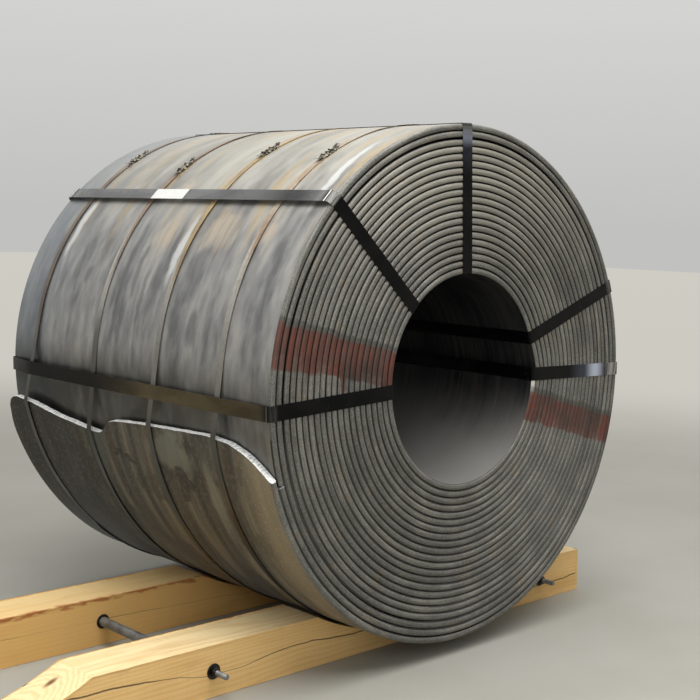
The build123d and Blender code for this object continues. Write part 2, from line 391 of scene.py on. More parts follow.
@dataclass(frozen=True)
class CoilGauge:
    """Sizes of the wound plate in metres and degrees, and its places in the frame."""

    centre_x: float
    axis_z: float
    front_y: float
    rear_y: float
    bore: float
    plate: float = 0.0238
    tip_radius: float = 0.948
    tip_angle: float = -171.5
    head_angle: float = -5.5
    whole_turns: float = 21.461
    head_blend: float = 30.0
    loose_seam: float = 0.0042
    loose_seam_turn: float = 18.6
    root_angle: float = -132.0
    lift_front: float = 0.001
    lift_rear: float = 0.034
    corner_angle: float = -154.0
    outer_span: float = 370.0
    edge_radius: float = 0.88 * 0.0238 / 2
    wear_steps: int = 18
    tear: tuple[Pair, ...] = (
        (0, -163), (0.031, -165.6), (0.064, -167.8), (0.113, -169.5), (0.184, -170.3),
        (0.423, -169.6), (0.521, -169), (0.555, -168.2), (0.580, -165.6), (0.604, -165.2),
        (0.761, -167), (0.871, -169), (0.945, -169.8), (0.975, -168.6), (0.991, -166),
    )

    @property
    def width(self) -> float:
        """Width of the plate."""
        return self.rear_y - self.front_y

    @property
    def rise(self) -> float:
        """Growth of the radius in one turn."""
        inside = self.tip_radius - self.plate
        return (inside - self.bore - self.loose_seam) / self.whole_turns

    def hub(self, y: float) -> Array:
        """Point of the coil's axis at a place along it."""
        return np.array([self.centre_x, y, self.axis_z])

    def inner_radius(self, turn: Array) -> Array:
        """Radius of the plate's inner face.

        Args:
            turn: turns counted outwards from the plate's head in the bore.

        Returns:
            Radii: stepped arcs near the bore, which even out to a spiral further out.
        """
        share = turn - np.floor(turn)
        blend = self.head_blend / 360
        stepped = np.floor(turn) + smoothstep((share - 1 + blend) / blend)
        even = np.clip(turn / self.whole_turns, 0, 1)
        loose = self.loose_seam * smoothstep(turn - self.loose_seam_turn)
        return self.bore + self.rise * ((1 - even) * stepped + even * turn) + loose

    def turn_at(self, angle: Array) -> Array:
        """Turns from the head, for an angle counted on from the tail's tip."""
        return self.whole_turns - (angle - self.tip_angle) / 360

    def outside(self, angle: Array) -> Array:
        """Radius of the last turn's outside at an angle from the tip onwards."""
        return self.inner_radius(self.turn_at(angle)) + self.plate

    def tail_outside(self, angle: Array, lift: Array | float) -> Array:
        """Radius of the sprung tail's outside between its tip and its root."""
        share = np.clip((self.root_angle - angle) / (self.root_angle - self.tip_angle), 0, None)
        return self.outside(angle) + lift * share ** 2

    def lift(self, setback: Array | float) -> Array | float:
        """Spring of the tail's tip at a distance behind the front face."""
        return self.lift_front + (self.lift_rear - self.lift_front) * setback / self.width

    def edge_angle(self, setback: Array) -> Array:
        """Angle of the torn edge, with its corners worn.

        Args:
            setback: distances behind the front face.

        Returns:
            Angles in degrees.
        """
        shares, angles = zip(*self.tear, (1.0, self.corner_angle))
        fine = np.linspace(0, 1, 801)
        steps = self.wear_steps
        worn = np.exp(-0.5 * (np.arange(-steps, steps + 1) * 3 / steps) ** 2)
        raw = np.pad(np.interp(fine, shares, angles), steps, mode="edge")
        smooth = np.convolve(raw, worn / worn.sum(), mode="valid")
        return np.interp(np.asarray(setback) / self.width, fine, smooth)

    def place(self, radius: Array, angle: Array, y: Array) -> Array:
        """Points in the frame from radius, angle in degrees and place along the axis."""
        turn = np.radians(angle)
        return np.stack([self.centre_x + radius * np.cos(turn), y + 0 * turn,
                         self.axis_z + radius * np.sin(turn)], axis=-1)


@dataclass(frozen=True)
class Coat:
    """Tint laid on in ragged spots: its noise, the noise at which it starts and is full, and its share."""

    scale: float | Triple
    detail: float
    shift: float
    start: float
    full: float
    share: float
    tint: str

    def spots(self, tree: Tree, place: Any) -> Node:
        """Adds the coat's share at each place."""
        spots = speckle(tree, place, self.scale, self.detail, self.shift)
        return add(tree, Kind.SPAN, spots, self.start, self.full, 0.0, self.share)

    def lay(self, tree: Tree, place: Any, colour: Any) -> Node:
        """Adds the coat over a colour."""
        return add(tree, Kind.MIX, self.spots(tree, place), colour, self.tint)


@dataclass(frozen=True)
class Finish:
    """A material that reads Object coordinates in metres, so its scales are one over a real size."""

    name: str

    def build(self) -> Material:
        """Makes the material and draws its nodes."""
        material = bpy.data.materials.new(self.name)
        material.use_nodes = True
        tree = material.node_tree
        tree.nodes.clear()
        place = add(tree, "ShaderNodeTexCoord").outputs["Object"]
        surface = add(tree, "ShaderNodeBsdfPrincipled", inputs=self.draw(tree, place))
        add(tree, "ShaderNodeOutputMaterial", surface)
        return material

    def draw(self, tree: Tree, place: Any) -> Inputs:
        """Draws the finish, and gives a value, node or socket for each of the shader's inputs by name."""
        raise NotImplementedError


@dataclass(frozen=True)
class MillScale(Finish):
    """Hot-rolled plate, whose rolled-in blue-grey oxide has long streaks along the rolling direction.

    The oxide gives a soft metallic sheen, and the torn end has lain in rust and dirt. Each patch has an
    angle, a place along the axis, and its half sizes in degrees and metres.
    """

    name: str = "mill_scale_plate"
    arm: float = 0.948
    dirty_turns: Pair = (21.27, 21.40)
    shaded_foot_angles: Pair = (173.0, 184.0)
    painted_sheen_bands: Patches = (
        (147, 0.590, 14, 0.030), (151, -0.150, 14, 0.032), (128, -0.720, 20, 0.030),
    )
    tan_patches: Patches = (
        (147, -0.340, 9, 0.15), (148, -0.02, 9, 0.11), (132, 0.06, 4, 0.07),
        (145, -0.57, 7, 0.09),
    )
    pale_bands: Patches = ((-156, -0.485, 16, 0.045), (-165, -0.280, 5.5, 0.20))
    wet_marks: Patches = (
        (-159, -0.325, 3.6, 0.075), (-156, -0.300, 2, 0.050), (-161, 0.02, 1.6, 0.10),
    )
    smudges: Patches = (
        (157, -0.29, 9, 0.07), (168.5, -0.36, 6, 0.05), (159.8, 0.367, 3.5, 0.035),
        (157, 0.05, 10, 0.025), (168, 0.12, 9, 0.03), (163, -0.02, 12, 0.02),
    )
    oxide: Stops = ((0, "6C6C6C"), (0.4, "8A8A89"), (0.7, "999896"), (1, "A9A8A3"))
    dirt: Stops = ((0, "36342F"), (0.45, "4C483F"), (0.75, "5F5A4E"), (1, "7A7260"))
    golden: Coat = Coat((1.6, 17, 1), 7, 27, 0.5, 0.66, 1, "B99E6C")
    green: Coat = Coat((1, 7, 1), 4, 35, 0.55, 0.7, 0.6, "6E746B")
    blots: Coat = Coat((5, 5.5, 1), 5, 41, 0.53, 0.555, 0.55, "322E28")
    rust: Coat = Coat((1.6, 15, 1), 7, 53, 0.58, 0.76, 0.55, "705036")
    grit: Coat = Coat((60, 70, 1), 6, 47, 0.5, 0.68, 0.22, "85857C")
    flecks: Coat = Coat(120, 7, 61, 0.54, 0.64, 1, "B0977A")

    def draw(self, tree: Tree, place: Any) -> Inputs:
        """Draws streaks along the plate, patches, painted sheens beside the straps and the stained end.

        Args:
            tree: the material's tree.
            place: the place in the frame.

        Returns:
            The shader's inputs.
        """
        run = add(tree, Kind.STORED, attribute_name="unrolled").outputs["Vector"]
        turn = add(tree, Kind.STORED, attribute_name="turn").outputs["Fac"]
        broad = speckle(tree, run, (0.7, 5, 1), 4)
        narrow = speckle(tree, run, (2.4, 30, 1), 5, 3)
        cloud = speckle(tree, run, (3.5, 14, 1), 6, 8)
        mottle = speckle(tree, run, (13, 34, 1), 9, 14)
        tone = broad
        for streaks, weight in ((narrow, 0.4), (cloud, 1.5), (mottle, 0.7)):
            tone = add(tree, Kind.MULTIPLY_ADD, streaks, weight, tone)
        colour = add(tree, Kind.RAMP, add(tree, Kind.SPAN, tone, 1.4, 2.2), stops=self.oxide)
        colour = self.weathered(tree, colour, run, place, broad)
        ragged = self.ragged(tree, run)
        smudge = add(tree, Kind.SPAN, self.patches(tree, ragged, self.smudges), 0, 1, 0, 0.45)
        colour = add(tree, Kind.MIX, smudge, colour, "4C4C4E")
        grain = speckle(tree, run, (6, 60, 1), 6, 21)
        grain = add(tree, Kind.SPAN, grain, 0.32, 0.68, 0.45, 1)
        tan = add(tree, Kind.MULTIPLY, self.patches(tree, ragged, self.tan_patches), grain)
        colour = add(tree, Kind.MIX, add(tree, Kind.SPAN, tan, 0, 1, 0, 0.75), colour, "C0B19C")
        # Painted sheens: pale near-white bands beside the straps, where the plate catches the light.
        bright = add(tree, Kind.SPAN, self.patches(tree, ragged, self.painted_sheen_bands), 0, 1, 0, 0.78)
        colour = add(tree, Kind.MIX, bright, colour, "DCDCDA")
        dirty = add(tree, Kind.SPAN, turn, *self.dirty_turns)
        gloss = add(tree, Kind.SPAN, tone, 1.25, 2, 0.3, 0.44)
        relief = add(tree, Kind.ADD, narrow, speckle(tree, place, 160, 3))
        return {
            "Base Color": add(tree, Kind.MIX, dirty, colour, self.stained(tree, run, ragged, place)),
            "Roughness": add(tree, Kind.ADD, gloss, add(tree, Kind.SPAN, dirty, 0, 1, 0, 0.16)),
            "Metallic": add(tree, Kind.SPAN, dirty, 0, 1, 0.7, 0.25),
            "Normal": add(tree, Kind.BUMP, 0.1, 0.001, None, relief),
        }

    def weathered(self, tree: Tree, colour: Any, run: Any, place: Any, broad: Node) -> Node:
        """Draws a pale top of painted light with a dusty tone, the golden bloom, the cooler rear end, and
        the foot above the tear darkened by painted shade over dark scale.

        Args:
            tree: the tree.
            colour: the plate's colour.
            run: the unrolled place on the plate.
            place: the place in the frame.
            broad: broad noise that makes the bloom uneven.

        Returns:
            The weathered colour.
        """
        height = add(tree, Kind.SEPARATE, place).outputs[2]
        level = add(tree, Kind.MULTIPLY_ADD, broad, 0.5, height)
        # Painted top light with a dusty tone: the plate grows paler towards the top.
        colour = add(tree, Kind.MIX, add(tree, Kind.SPAN, level, 1.68, 2.1, 0, 0.45), colour, "BFBAAA")
        upper = add(tree, Kind.SPAN, level, 1.62, 1.87, 0, 0.55)
        gold = add(tree, Kind.MULTIPLY, self.golden.spots(tree, run), upper)
        colour = add(tree, Kind.MIX, gold, colour, self.golden.tint)
        arc, across, _ = add(tree, Kind.SEPARATE, run).outputs
        colour = add(tree, Kind.MIX, add(tree, Kind.SPAN, across, 0.4, 0.8, 0, 0.5), colour, "76808B")
        # Painted shade under the sprung tail, over dark scale: the foot above the tear darkens, most
        # towards the rear.
        foot = add(tree, Kind.SPAN, arc, *(math.radians(angle) * self.arm for angle in self.shaded_foot_angles))
        rearward = add(tree, Kind.SPAN, across, -0.95, 0, 0.55, 0.86)
        uneven = speckle(tree, run, (5, 7, 1), 6, 37)
        uneven = add(tree, Kind.SPAN, uneven, 0.35, 0.6, 0.75, 1.08)
        foot = add(tree, Kind.MULTIPLY, add(tree, Kind.MULTIPLY, foot, rearward), uneven)
        tint = add(tree, Kind.MIX, add(tree, Kind.SPAN, across, 0.3, 0.7), "38352B", "3E3F3E")
        return add(tree, Kind.MIX, foot, colour, tint)

    def ragged(self, tree: Tree, run: Any) -> Node:
        """Shifts the unrolled place by soft noise, so that patches have ragged outlines."""
        drift = add(tree, Kind.NOISE, run, 9, 5).outputs["Color"]
        drift = add(tree, Kind.STRETCH, add(tree, Kind.OFFSET, drift, (0.5, 0.5, 0.5)), (0.22, 0.06, 0))
        return add(tree, Kind.SHIFT, run, drift)

    def patches(self, tree: Tree, run: Any, places: Patches) -> Node:
        """Draws soft oval patches on the unrolled plate.

        Args:
            tree: the tree.
            run: the unrolled place.
            places: the patches.

        Returns:
            The node that is one inside the patches and zero away from them.
        """
        total = None
        for angle, along, spread, breadth in places:
            away = add(tree, Kind.OFFSET, run, (math.radians(angle) * self.arm, along, 0))
            away = add(tree, Kind.SHRINK, away, (math.radians(spread) * self.arm, breadth, 1))
            share = add(tree, Kind.SPAN, add(tree, Kind.LENGTH, away), 1, 0.2)
            total = add(tree, Kind.MAXIMUM, total, share) if total else share
        return total

    def stained(self, tree: Tree, run: Any, ragged: Node, place: Any) -> Node:
        """Draws the torn end's brown-grey skin with rust runs and dark blots.

        Args:
            tree: the tree.
            run: the unrolled place on the plate.
            ragged: the same, shifted by noise.
            place: the place in the frame.

        Returns:
            The stained colour.
        """
        across = add(tree, Kind.SEPARATE, run).outputs[1]
        drag = add(tree, Kind.SPAN, speckle(tree, run, (1.6, 24, 1), 6, 31), 0.3, 0.72)
        colour = add(tree, Kind.RAMP, drag, stops=self.dirt)
        for coat in (self.green, self.blots, self.rust):
            colour = coat.lay(tree, run, colour)
        pale = add(tree, Kind.SPAN, self.patches(tree, ragged, self.pale_bands), 0, 1, 0, 0.5)
        wet = add(tree, Kind.SPAN, self.patches(tree, ragged, self.wet_marks), 0.3, 0.45, 0, 0.75)
        rearward = add(tree, Kind.SPAN, across, -0.2, 0.6, 0, 0.85)
        for share, tint in ((pale, "85887A"), (wet, "262320"), (rearward, "24231E")):
            colour = add(tree, Kind.MIX, share, colour, tint)
        colour = self.grit.lay(tree, run, colour)
        near_front = add(tree, Kind.SPAN, across, -0.58, -0.78)
        warm = add(tree, Kind.MIX, add(tree, Kind.SPAN, near_front, 0, 1, 0, 0.6), colour, "A1977F")
        flecks = add(tree, Kind.MULTIPLY, near_front, self.flecks.spots(tree, place))
        flecks = add(tree, Kind.SPAN, flecks, 0, 1, 0, 0.5)
        return add(tree, Kind.MIX, flecks, warm, self.flecks.tint)


@dataclass(frozen=True, kw_only=True)
class MillEdge(Finish):
    """Mill edge of the plate: rounded by the rolls, dull khaki-grey, with painted shade down in the seams.

    A sprayed mark of red-brown primer runs across the front ends of the turns.
    """

    gauge: CoilGauge
    name: str = "mill_edge_plate"
    slope: float = 0.2375
    offset: float = 0.041
    half_height: float = 0.064
    right_sink: float = 0.016
    right_narrowing: float = 0.0075
    left_spread: float = 0.029
    run_x: float = -0.615
    run_length: float = 0.05
    paint_edge: float = 0.012
    haze_edge: float = 0.016
    haze_limits: Pair = (0.022, 0.028)
    crests: Stops = ((0, "53534E"), (0.4, "63635D"), (0.75, "72716A"), (1, "858379"))
    primer: Stops = ((0, "38281F"), (0.5, "523228"), (1, "6C3526"))
    tan: Coat = Coat(14, 5, 9, 0.55, 0.72, 0.4, "8C7656")
    scratches: Coat = Coat((22, 4.5, 1), 3, 13, 0.5, 0.62, 0.5, "3D3A33")

    def draw(self, tree: Tree, place: Any) -> Inputs:
        """Draws crests, painted shade in the seams and painted top light, then the primer mark on the
        front ends.

        Args:
            tree: the material's tree.
            place: the place in the frame.

        Returns:
            The shader's inputs.
        """
        section = add(tree, Kind.STORED, attribute_name="section").outputs["Vector"]
        turn = add(tree, Kind.STORED, attribute_name="turn").outputs["Fac"]
        depth = add(tree, Kind.SEPARATE, section).outputs[0]
        along = add(tree, Kind.COMBINE, turn, depth)
        grain = speckle(tree, place, 210, 3, 5)
        drag = speckle(tree, along, (30, 1.7, 1), 4, 3)
        tone = add(tree, Kind.NOISE_ALONG, turn, 2.3, 3)
        tone = add(tree, Kind.ADD, speckle(tree, place, 9, 5), tone)
        worn = add(tree, Kind.MULTIPLY_ADD, drag, 0.8, tone)
        crest = add(tree, Kind.RAMP, add(tree, Kind.SPAN, worn, 1.05, 1.75), stops=self.crests)
        crest = self.tan.lay(tree, place, crest)
        pitted = add(tree, Kind.MIX, 0.26, crest, "383733")
        raised = add(tree, Kind.MIX, 0.16, crest, "B9B8B0")
        crest = add(tree, Kind.MIX, add(tree, Kind.SPAN, grain, 0.36, 0.66), pitted, raised)
        crest = self.scratches.lay(tree, along, crest)
        height, axis_z = add(tree, Kind.SEPARATE, place).outputs[2], self.gauge.axis_z
        # Painted top light with a dusty tone: crests of the outer turns grow paler towards the top.
        dust_and_painted_light = add(tree, Kind.SPAN, height, axis_z + 0.3, axis_z + 0.8, 0, 0.5)
        dust_and_painted_light = add(tree, Kind.MULTIPLY, dust_and_painted_light, add(tree, Kind.SPAN, turn, 20.2, 17))
        crest = add(tree, Kind.MIX, dust_and_painted_light, crest, "AAA497")
        free = add(tree, Kind.GREATER, turn, self.gauge.whole_turns - 1)
        free = add(tree, Kind.MULTIPLY, free, add(tree, Kind.SPAN, depth, 0, 0.1))
        # Painted shade in the seams: the flanks darken towards the seams, but not the last turn's outer
        # corner.
        seam = add(tree, Kind.SPAN, add(tree, Kind.ABSOLUTE, depth), 0.70, 0.95)
        seam = add(tree, Kind.MULTIPLY, seam, add(tree, Kind.SUBTRACT, 1, free))
        head = add(tree, Kind.SPAN, add(tree, Kind.SPAN, turn, 0.022, 0.010), 0, 1, 0, 0.8)
        haze, paint = self.mark(tree, place, turn)
        primer = add(tree, Kind.RAMP, add(tree, Kind.SPAN, worn, 1, 1.75), stops=self.primer)
        # Painted shade in the seams under the primer as well.
        primer = add(tree, Kind.MIX, add(tree, Kind.SPAN, seam, 0, 1, 0, 0.75), primer, "1E120E")
        colour = crest
        for share, tint in ((seam, "141310"), (head, "D8D4CA"), (haze, "2C2A25"), (paint, primer)):
            colour = add(tree, Kind.MIX, share, colour, tint)
        return {
            "Base Color": colour, "Metallic": 0.3,
            "Roughness": add(tree, Kind.SPAN, drag, 0.3, 0.7, 0.46, 0.62),
            "Normal": add(tree, Kind.BUMP, 0.15, 0.0008, None, grain),
        }

    def mark(self, tree: Tree, place: Any, turn: Any) -> tuple[Node, Node]:
        """Draws where the primer lies: a straight sloping band with a hazy top edge and one run of paint.

        Args:
            tree: the tree.
            place: the place in the frame.
            turn: turns from the plate's head, by which the cover varies.

        Returns:
            The nodes that give the haze's share and the paint's.
        """
        axes = add(tree, Kind.SEPARATE, place).outputs
        x = add(tree, Kind.SUBTRACT, axes[0], self.gauge.centre_x)
        z = add(tree, Kind.SUBTRACT, axes[2], self.gauge.axis_z - self.offset)
        ragged = speckle(tree, place, 22, 5, 2)
        level = add(tree, Kind.MULTIPLY_ADD, x, self.slope, z)
        level = add(tree, Kind.ADD, level, add(tree, Kind.SPAN, x, 0.3, 0.93, 0, self.right_sink))
        level = add(tree, Kind.SUBTRACT, add(tree, Kind.MULTIPLY_ADD, ragged, 0.03, level), 0.015)
        narrower = add(tree, Kind.SPAN, x, -0.1, 0.1, 0, self.right_narrowing)
        above = add(tree, Kind.ADD, level, narrower)
        below = add(tree, Kind.SUBTRACT, level, narrower)
        below = add(tree, Kind.ADD, below, add(tree, Kind.SPAN, x, -0.62, -0.93, 0, self.left_spread))
        away = add(tree, Kind.ABSOLUTE, add(tree, Kind.SUBTRACT, x, self.run_x))
        below = add(tree, Kind.ADD, below, add(tree, Kind.SPAN, away, 0.015, 0.007, 0, self.run_length))
        front = add(tree, Kind.SPAN, axes[1], self.gauge.front_y + 0.03, self.gauge.front_y + 0.02)
        half, (low, high) = self.half_height, self.haze_limits
        haze = between(tree, level, low - half, half + high, self.haze_edge, above)
        half += self.paint_edge / 2
        band = between(tree, below, -half, half, self.paint_edge, above)
        cover = add(tree, Kind.ADD, ragged, add(tree, Kind.NOISE_ALONG, turn, 1.37, 2))
        cover = add(tree, Kind.SPAN, cover, 0.8, 1.15, 0.66, 0.96)
        haze, band = add(tree, Kind.MULTIPLY, haze, front), add(tree, Kind.MULTIPLY, band, front)
        return add(tree, Kind.MULTIPLY, haze, 0.6), add(tree, Kind.MULTIPLY, band, cover)


@dataclass(frozen=True, kw_only=True)
class BoreScale(Finish):
    """Inner face of the first turn: the same rolled oxide, unweathered, dark and a little glossy."""

    gauge: CoilGauge
    name: str = "bore_plate"
    oxide: Stops = ((0, "161718"), (0.6, "212224"), (1, "2E2D2A"))
    brown: Coat = Coat(6, 5, 7, 0.56, 0.72, 0.4, "3E342A")

    def draw(self, tree: Tree, place: Any) -> Inputs:
        """Draws dark scale with faint tracks along the turn, brown bloom, and a paler lower part: painted
        reflected light with a dusty tone.

        Args:
            tree: the material's tree.
            place: the place in the frame.

        Returns:
            The shader's inputs.
        """
        cloud = speckle(tree, place, (3, 5, 3), 6)
        track = speckle(tree, place, (1.5, 60, 1.5), 4, 4)
        tone = add(tree, Kind.SPAN, add(tree, Kind.ADD, cloud, track), 0.8, 1.2)
        colour = self.brown.lay(tree, place, add(tree, Kind.RAMP, tone, stops=self.oxide))
        # Painted reflected light with a dusty tone: the bore grows paler towards the bottom.
        level = add(tree, Kind.MULTIPLY_ADD, cloud, 0.16, add(tree, Kind.SEPARATE, place).outputs[2])
        axis_z = self.gauge.axis_z
        dust_and_painted_light = add(tree, Kind.SPAN, level, axis_z + 0.03, axis_z - 0.29, 0, 0.68)
        return {
            "Base Color": add(tree, Kind.MIX, dust_and_painted_light, colour, "96948F"), "Specular IOR Level": 0.12,
            "Roughness": add(tree, Kind.SPAN, track, 0.3, 0.7, 0.4, 0.54),
        }


@dataclass(frozen=True)
class StrapSteel(Finish):
    """Plain steel strapping: thin golden rust where rain reaches it, silver and dull grey lower down.

    Rust starts lower on the strap's front half, where water runs along the raised edge.
    """

    rust_from: float
    half_shift: float
    gold: str
    brown: str
    dark_below: float
    seed: float
    metal: Stops = ((0, "33312B"), (0.2, "45433C"), (0.3, "636159"), (0.42, "908E87"), (0.55, "ABA8A0"),
                    (0.7, "C4C0B7"), (1, "BDB6A8"))
    streaks: Coat = Coat((60, 150, 60), 4, 3, 0.5, 0.68, 0.3, "45403A")

    def draw(self, tree: Tree, place: Any) -> Inputs:
        """Draws the change from rust at the top through bare metal to dull grey below.

        Args:
            tree: the material's tree.
            place: the place in the frame.

        Returns:
            The shader's inputs.
        """
        across = add(tree, Kind.STORED, attribute_name="across").outputs["Fac"]
        patch = speckle(tree, place, (5, 9, 5), 5, self.seed)
        level = add(tree, Kind.MULTIPLY_ADD, patch, 0.3, add(tree, Kind.SEPARATE, place).outputs[2])
        metal = add(tree, Kind.RAMP, add(tree, Kind.EVEN_SPAN, level, 0.6, 2.1), stops=self.metal)
        # Darker towards the bottom, by height.
        dark_below = add(tree, Kind.SPAN, level, 1.5, 1.15, 0, self.dark_below)
        metal = add(tree, Kind.MIX, dark_below, metal, "2B2A26")
        rear_half = add(tree, Kind.SPAN, across, -0.15, 0.15, 0, self.half_shift)
        rusty = add(tree, Kind.SUBTRACT, level, rear_half)
        rusty = add(tree, Kind.SPAN, rusty, self.rust_from + 0.1, self.rust_from + 0.3, 0, 0.9)
        rust = add(tree, Kind.MIX, add(tree, Kind.SPAN, patch, 0.35, 0.65), self.gold, self.brown)
        return {
            "Base Color": self.streaks.lay(tree, place, add(tree, Kind.MIX, rusty, metal, rust)),
            "Metallic": add(tree, Kind.SPAN, rusty, 0, 0.9, 0.65, 0.3),
            "Roughness": add(tree, Kind.SPAN, patch, 0.3, 0.7, 0.26, 0.42),
        }


@dataclass(frozen=True)
class EyeStrapPlace:
    """Where one wide strap goes round the coil's section, how it is worn, and the light painted on it.

    The dust and painted reflection on the outer run are given at setbacks. The painted sheen has a start,
    an end and a share.
    """

    name: str
    angle: float
    standoff: float
    dust_and_painted_light: str = "77757A"
    dust_and_reflection: tuple[Pair, ...] = ((0, 0.12), (1.63, 0.12))
    patch: Pair = (0.0, 0.0)
    fold_wear_and_highlight: float = 0.3
    sheen: Triple = (0, 0, 0)
    seal_on_run: bool = False


@dataclass(frozen=True)
class BlackEnamel(Finish):
    """Black baked enamel on strapping: dust and painted reflection on the outer run, painted highlights of
    worn metal at its folds.
    """

    strap: EyeStrapPlace
    front_y: float
    scuffs: Coat = Coat((90, 30, 90), 4, 6, 0.68, 0.74, 0.35, "4A4A4A")

    def draw(self, tree: Tree, place: Any) -> Inputs:
        """Draws black enamel with dust and painted reflection, scuffs, and marks of wear with painted
        highlights.

        Args:
            tree: the material's tree.
            place: the place in the frame.

        Returns:
            The shader's inputs.
        """
        cloud = speckle(tree, place, (12, 5, 12), 5)
        colour = add(tree, Kind.MIX, add(tree, Kind.SPAN, cloud, 0.4, 0.7), "050506", "0D0C0B")
        # Painted reflection with dust: the outer run's pale film stands in partly for the sky in its
        # gloss.
        dust_and_reflection = add(tree, Kind.STORED, attribute_name="dust_and_reflection").outputs["Fac"]
        dust_and_reflection = add(tree, Kind.MULTIPLY, dust_and_reflection, add(tree, Kind.SPAN, cloud, 0.3, 0.65, 0.75, 1.2))
        colour = self.scuffs.lay(tree, place, add(tree, Kind.MIX, dust_and_reflection, colour, self.strap.dust_and_painted_light))
        for share, most, tint in self.marks(tree, place):
            colour = add(tree, Kind.MIX, add(tree, Kind.MULTIPLY, share, most), colour, tint)
        return {
            "Base Color": colour, "Specular IOR Level": 0.1,
            "Roughness": add(tree, Kind.SPAN, cloud, 0.3, 0.7, 0.2, 0.36),
        }

    def marks(self, tree: Tree, place: Any) -> list[tuple[Node, float, str]]:
        """Draws a painted sheen beyond the fold, a white patch, and painted fold highlights of worn metal:
        a rubbed fold, creases and its bare edge.

        Args:
            tree: the tree.
            place: the place in the frame.

        Returns:
            The node, greatest share and tint of each mark, in the order that they are laid on.
        """
        axes = add(tree, Kind.SEPARATE, place).outputs
        past = add(tree, Kind.STORED, attribute_name="past_fold").outputs["Fac"]
        start, end, share = self.strap.sheen
        fold_wear_and_highlight, patch = self.strap.fold_wear_and_highlight, self.strap.patch
        marks = []
        # Painted sheen on the leg beyond the fold, with a weaker trail.
        if share:
            marks.append((between(tree, past, start, end + 0.10, 0.09), 0.14 * share, "8A90A4"))
            marks.append((between(tree, past, start, end, (end - start) / 2), share, "B0B5C4"))
        if patch[1] > patch[0]:
            limits = [self.front_y + limit for limit in patch]
            marks.append((between(tree, axes[1], *limits, 0.002), 1, "D0D0CC"))
        # Painted fold highlights, given as worn metal: a soft band before the fold, creases, and a bright
        # line at its start.
        marks.append((between(tree, past, -0.06, -0.002, 0.03), 0.4 * fold_wear_and_highlight, "8E8D8A"))
        folds = speckle(tree, add(tree, Kind.COMBINE, past, axes[2]), (260, 14, 1), 3, 11)
        reach = max(0.045, start + 0.015)
        crease_highlight = add(tree, Kind.MULTIPLY, add(tree, Kind.SPAN, folds, 0.42, 0.56, 0.35, 1),
                     between(tree, past, 0, reach, 0.27 * reach))
        marks.append((crease_highlight, 0.75 * fold_wear_and_highlight, "A9A8A2"))
        marks.append((between(tree, past, -0.007, 0.001, 0.0025), fold_wear_and_highlight, "E4E2DC"))
        return marks


@dataclass(frozen=True)
class TimberLook:
    """What sets one timber apart: noise, bruised edge, paleness, and its crack's widths and course."""

    name: str
    seed: float
    splinter: float
    pale: str
    crack_half: Pair
    crack: tuple[Pair, ...]


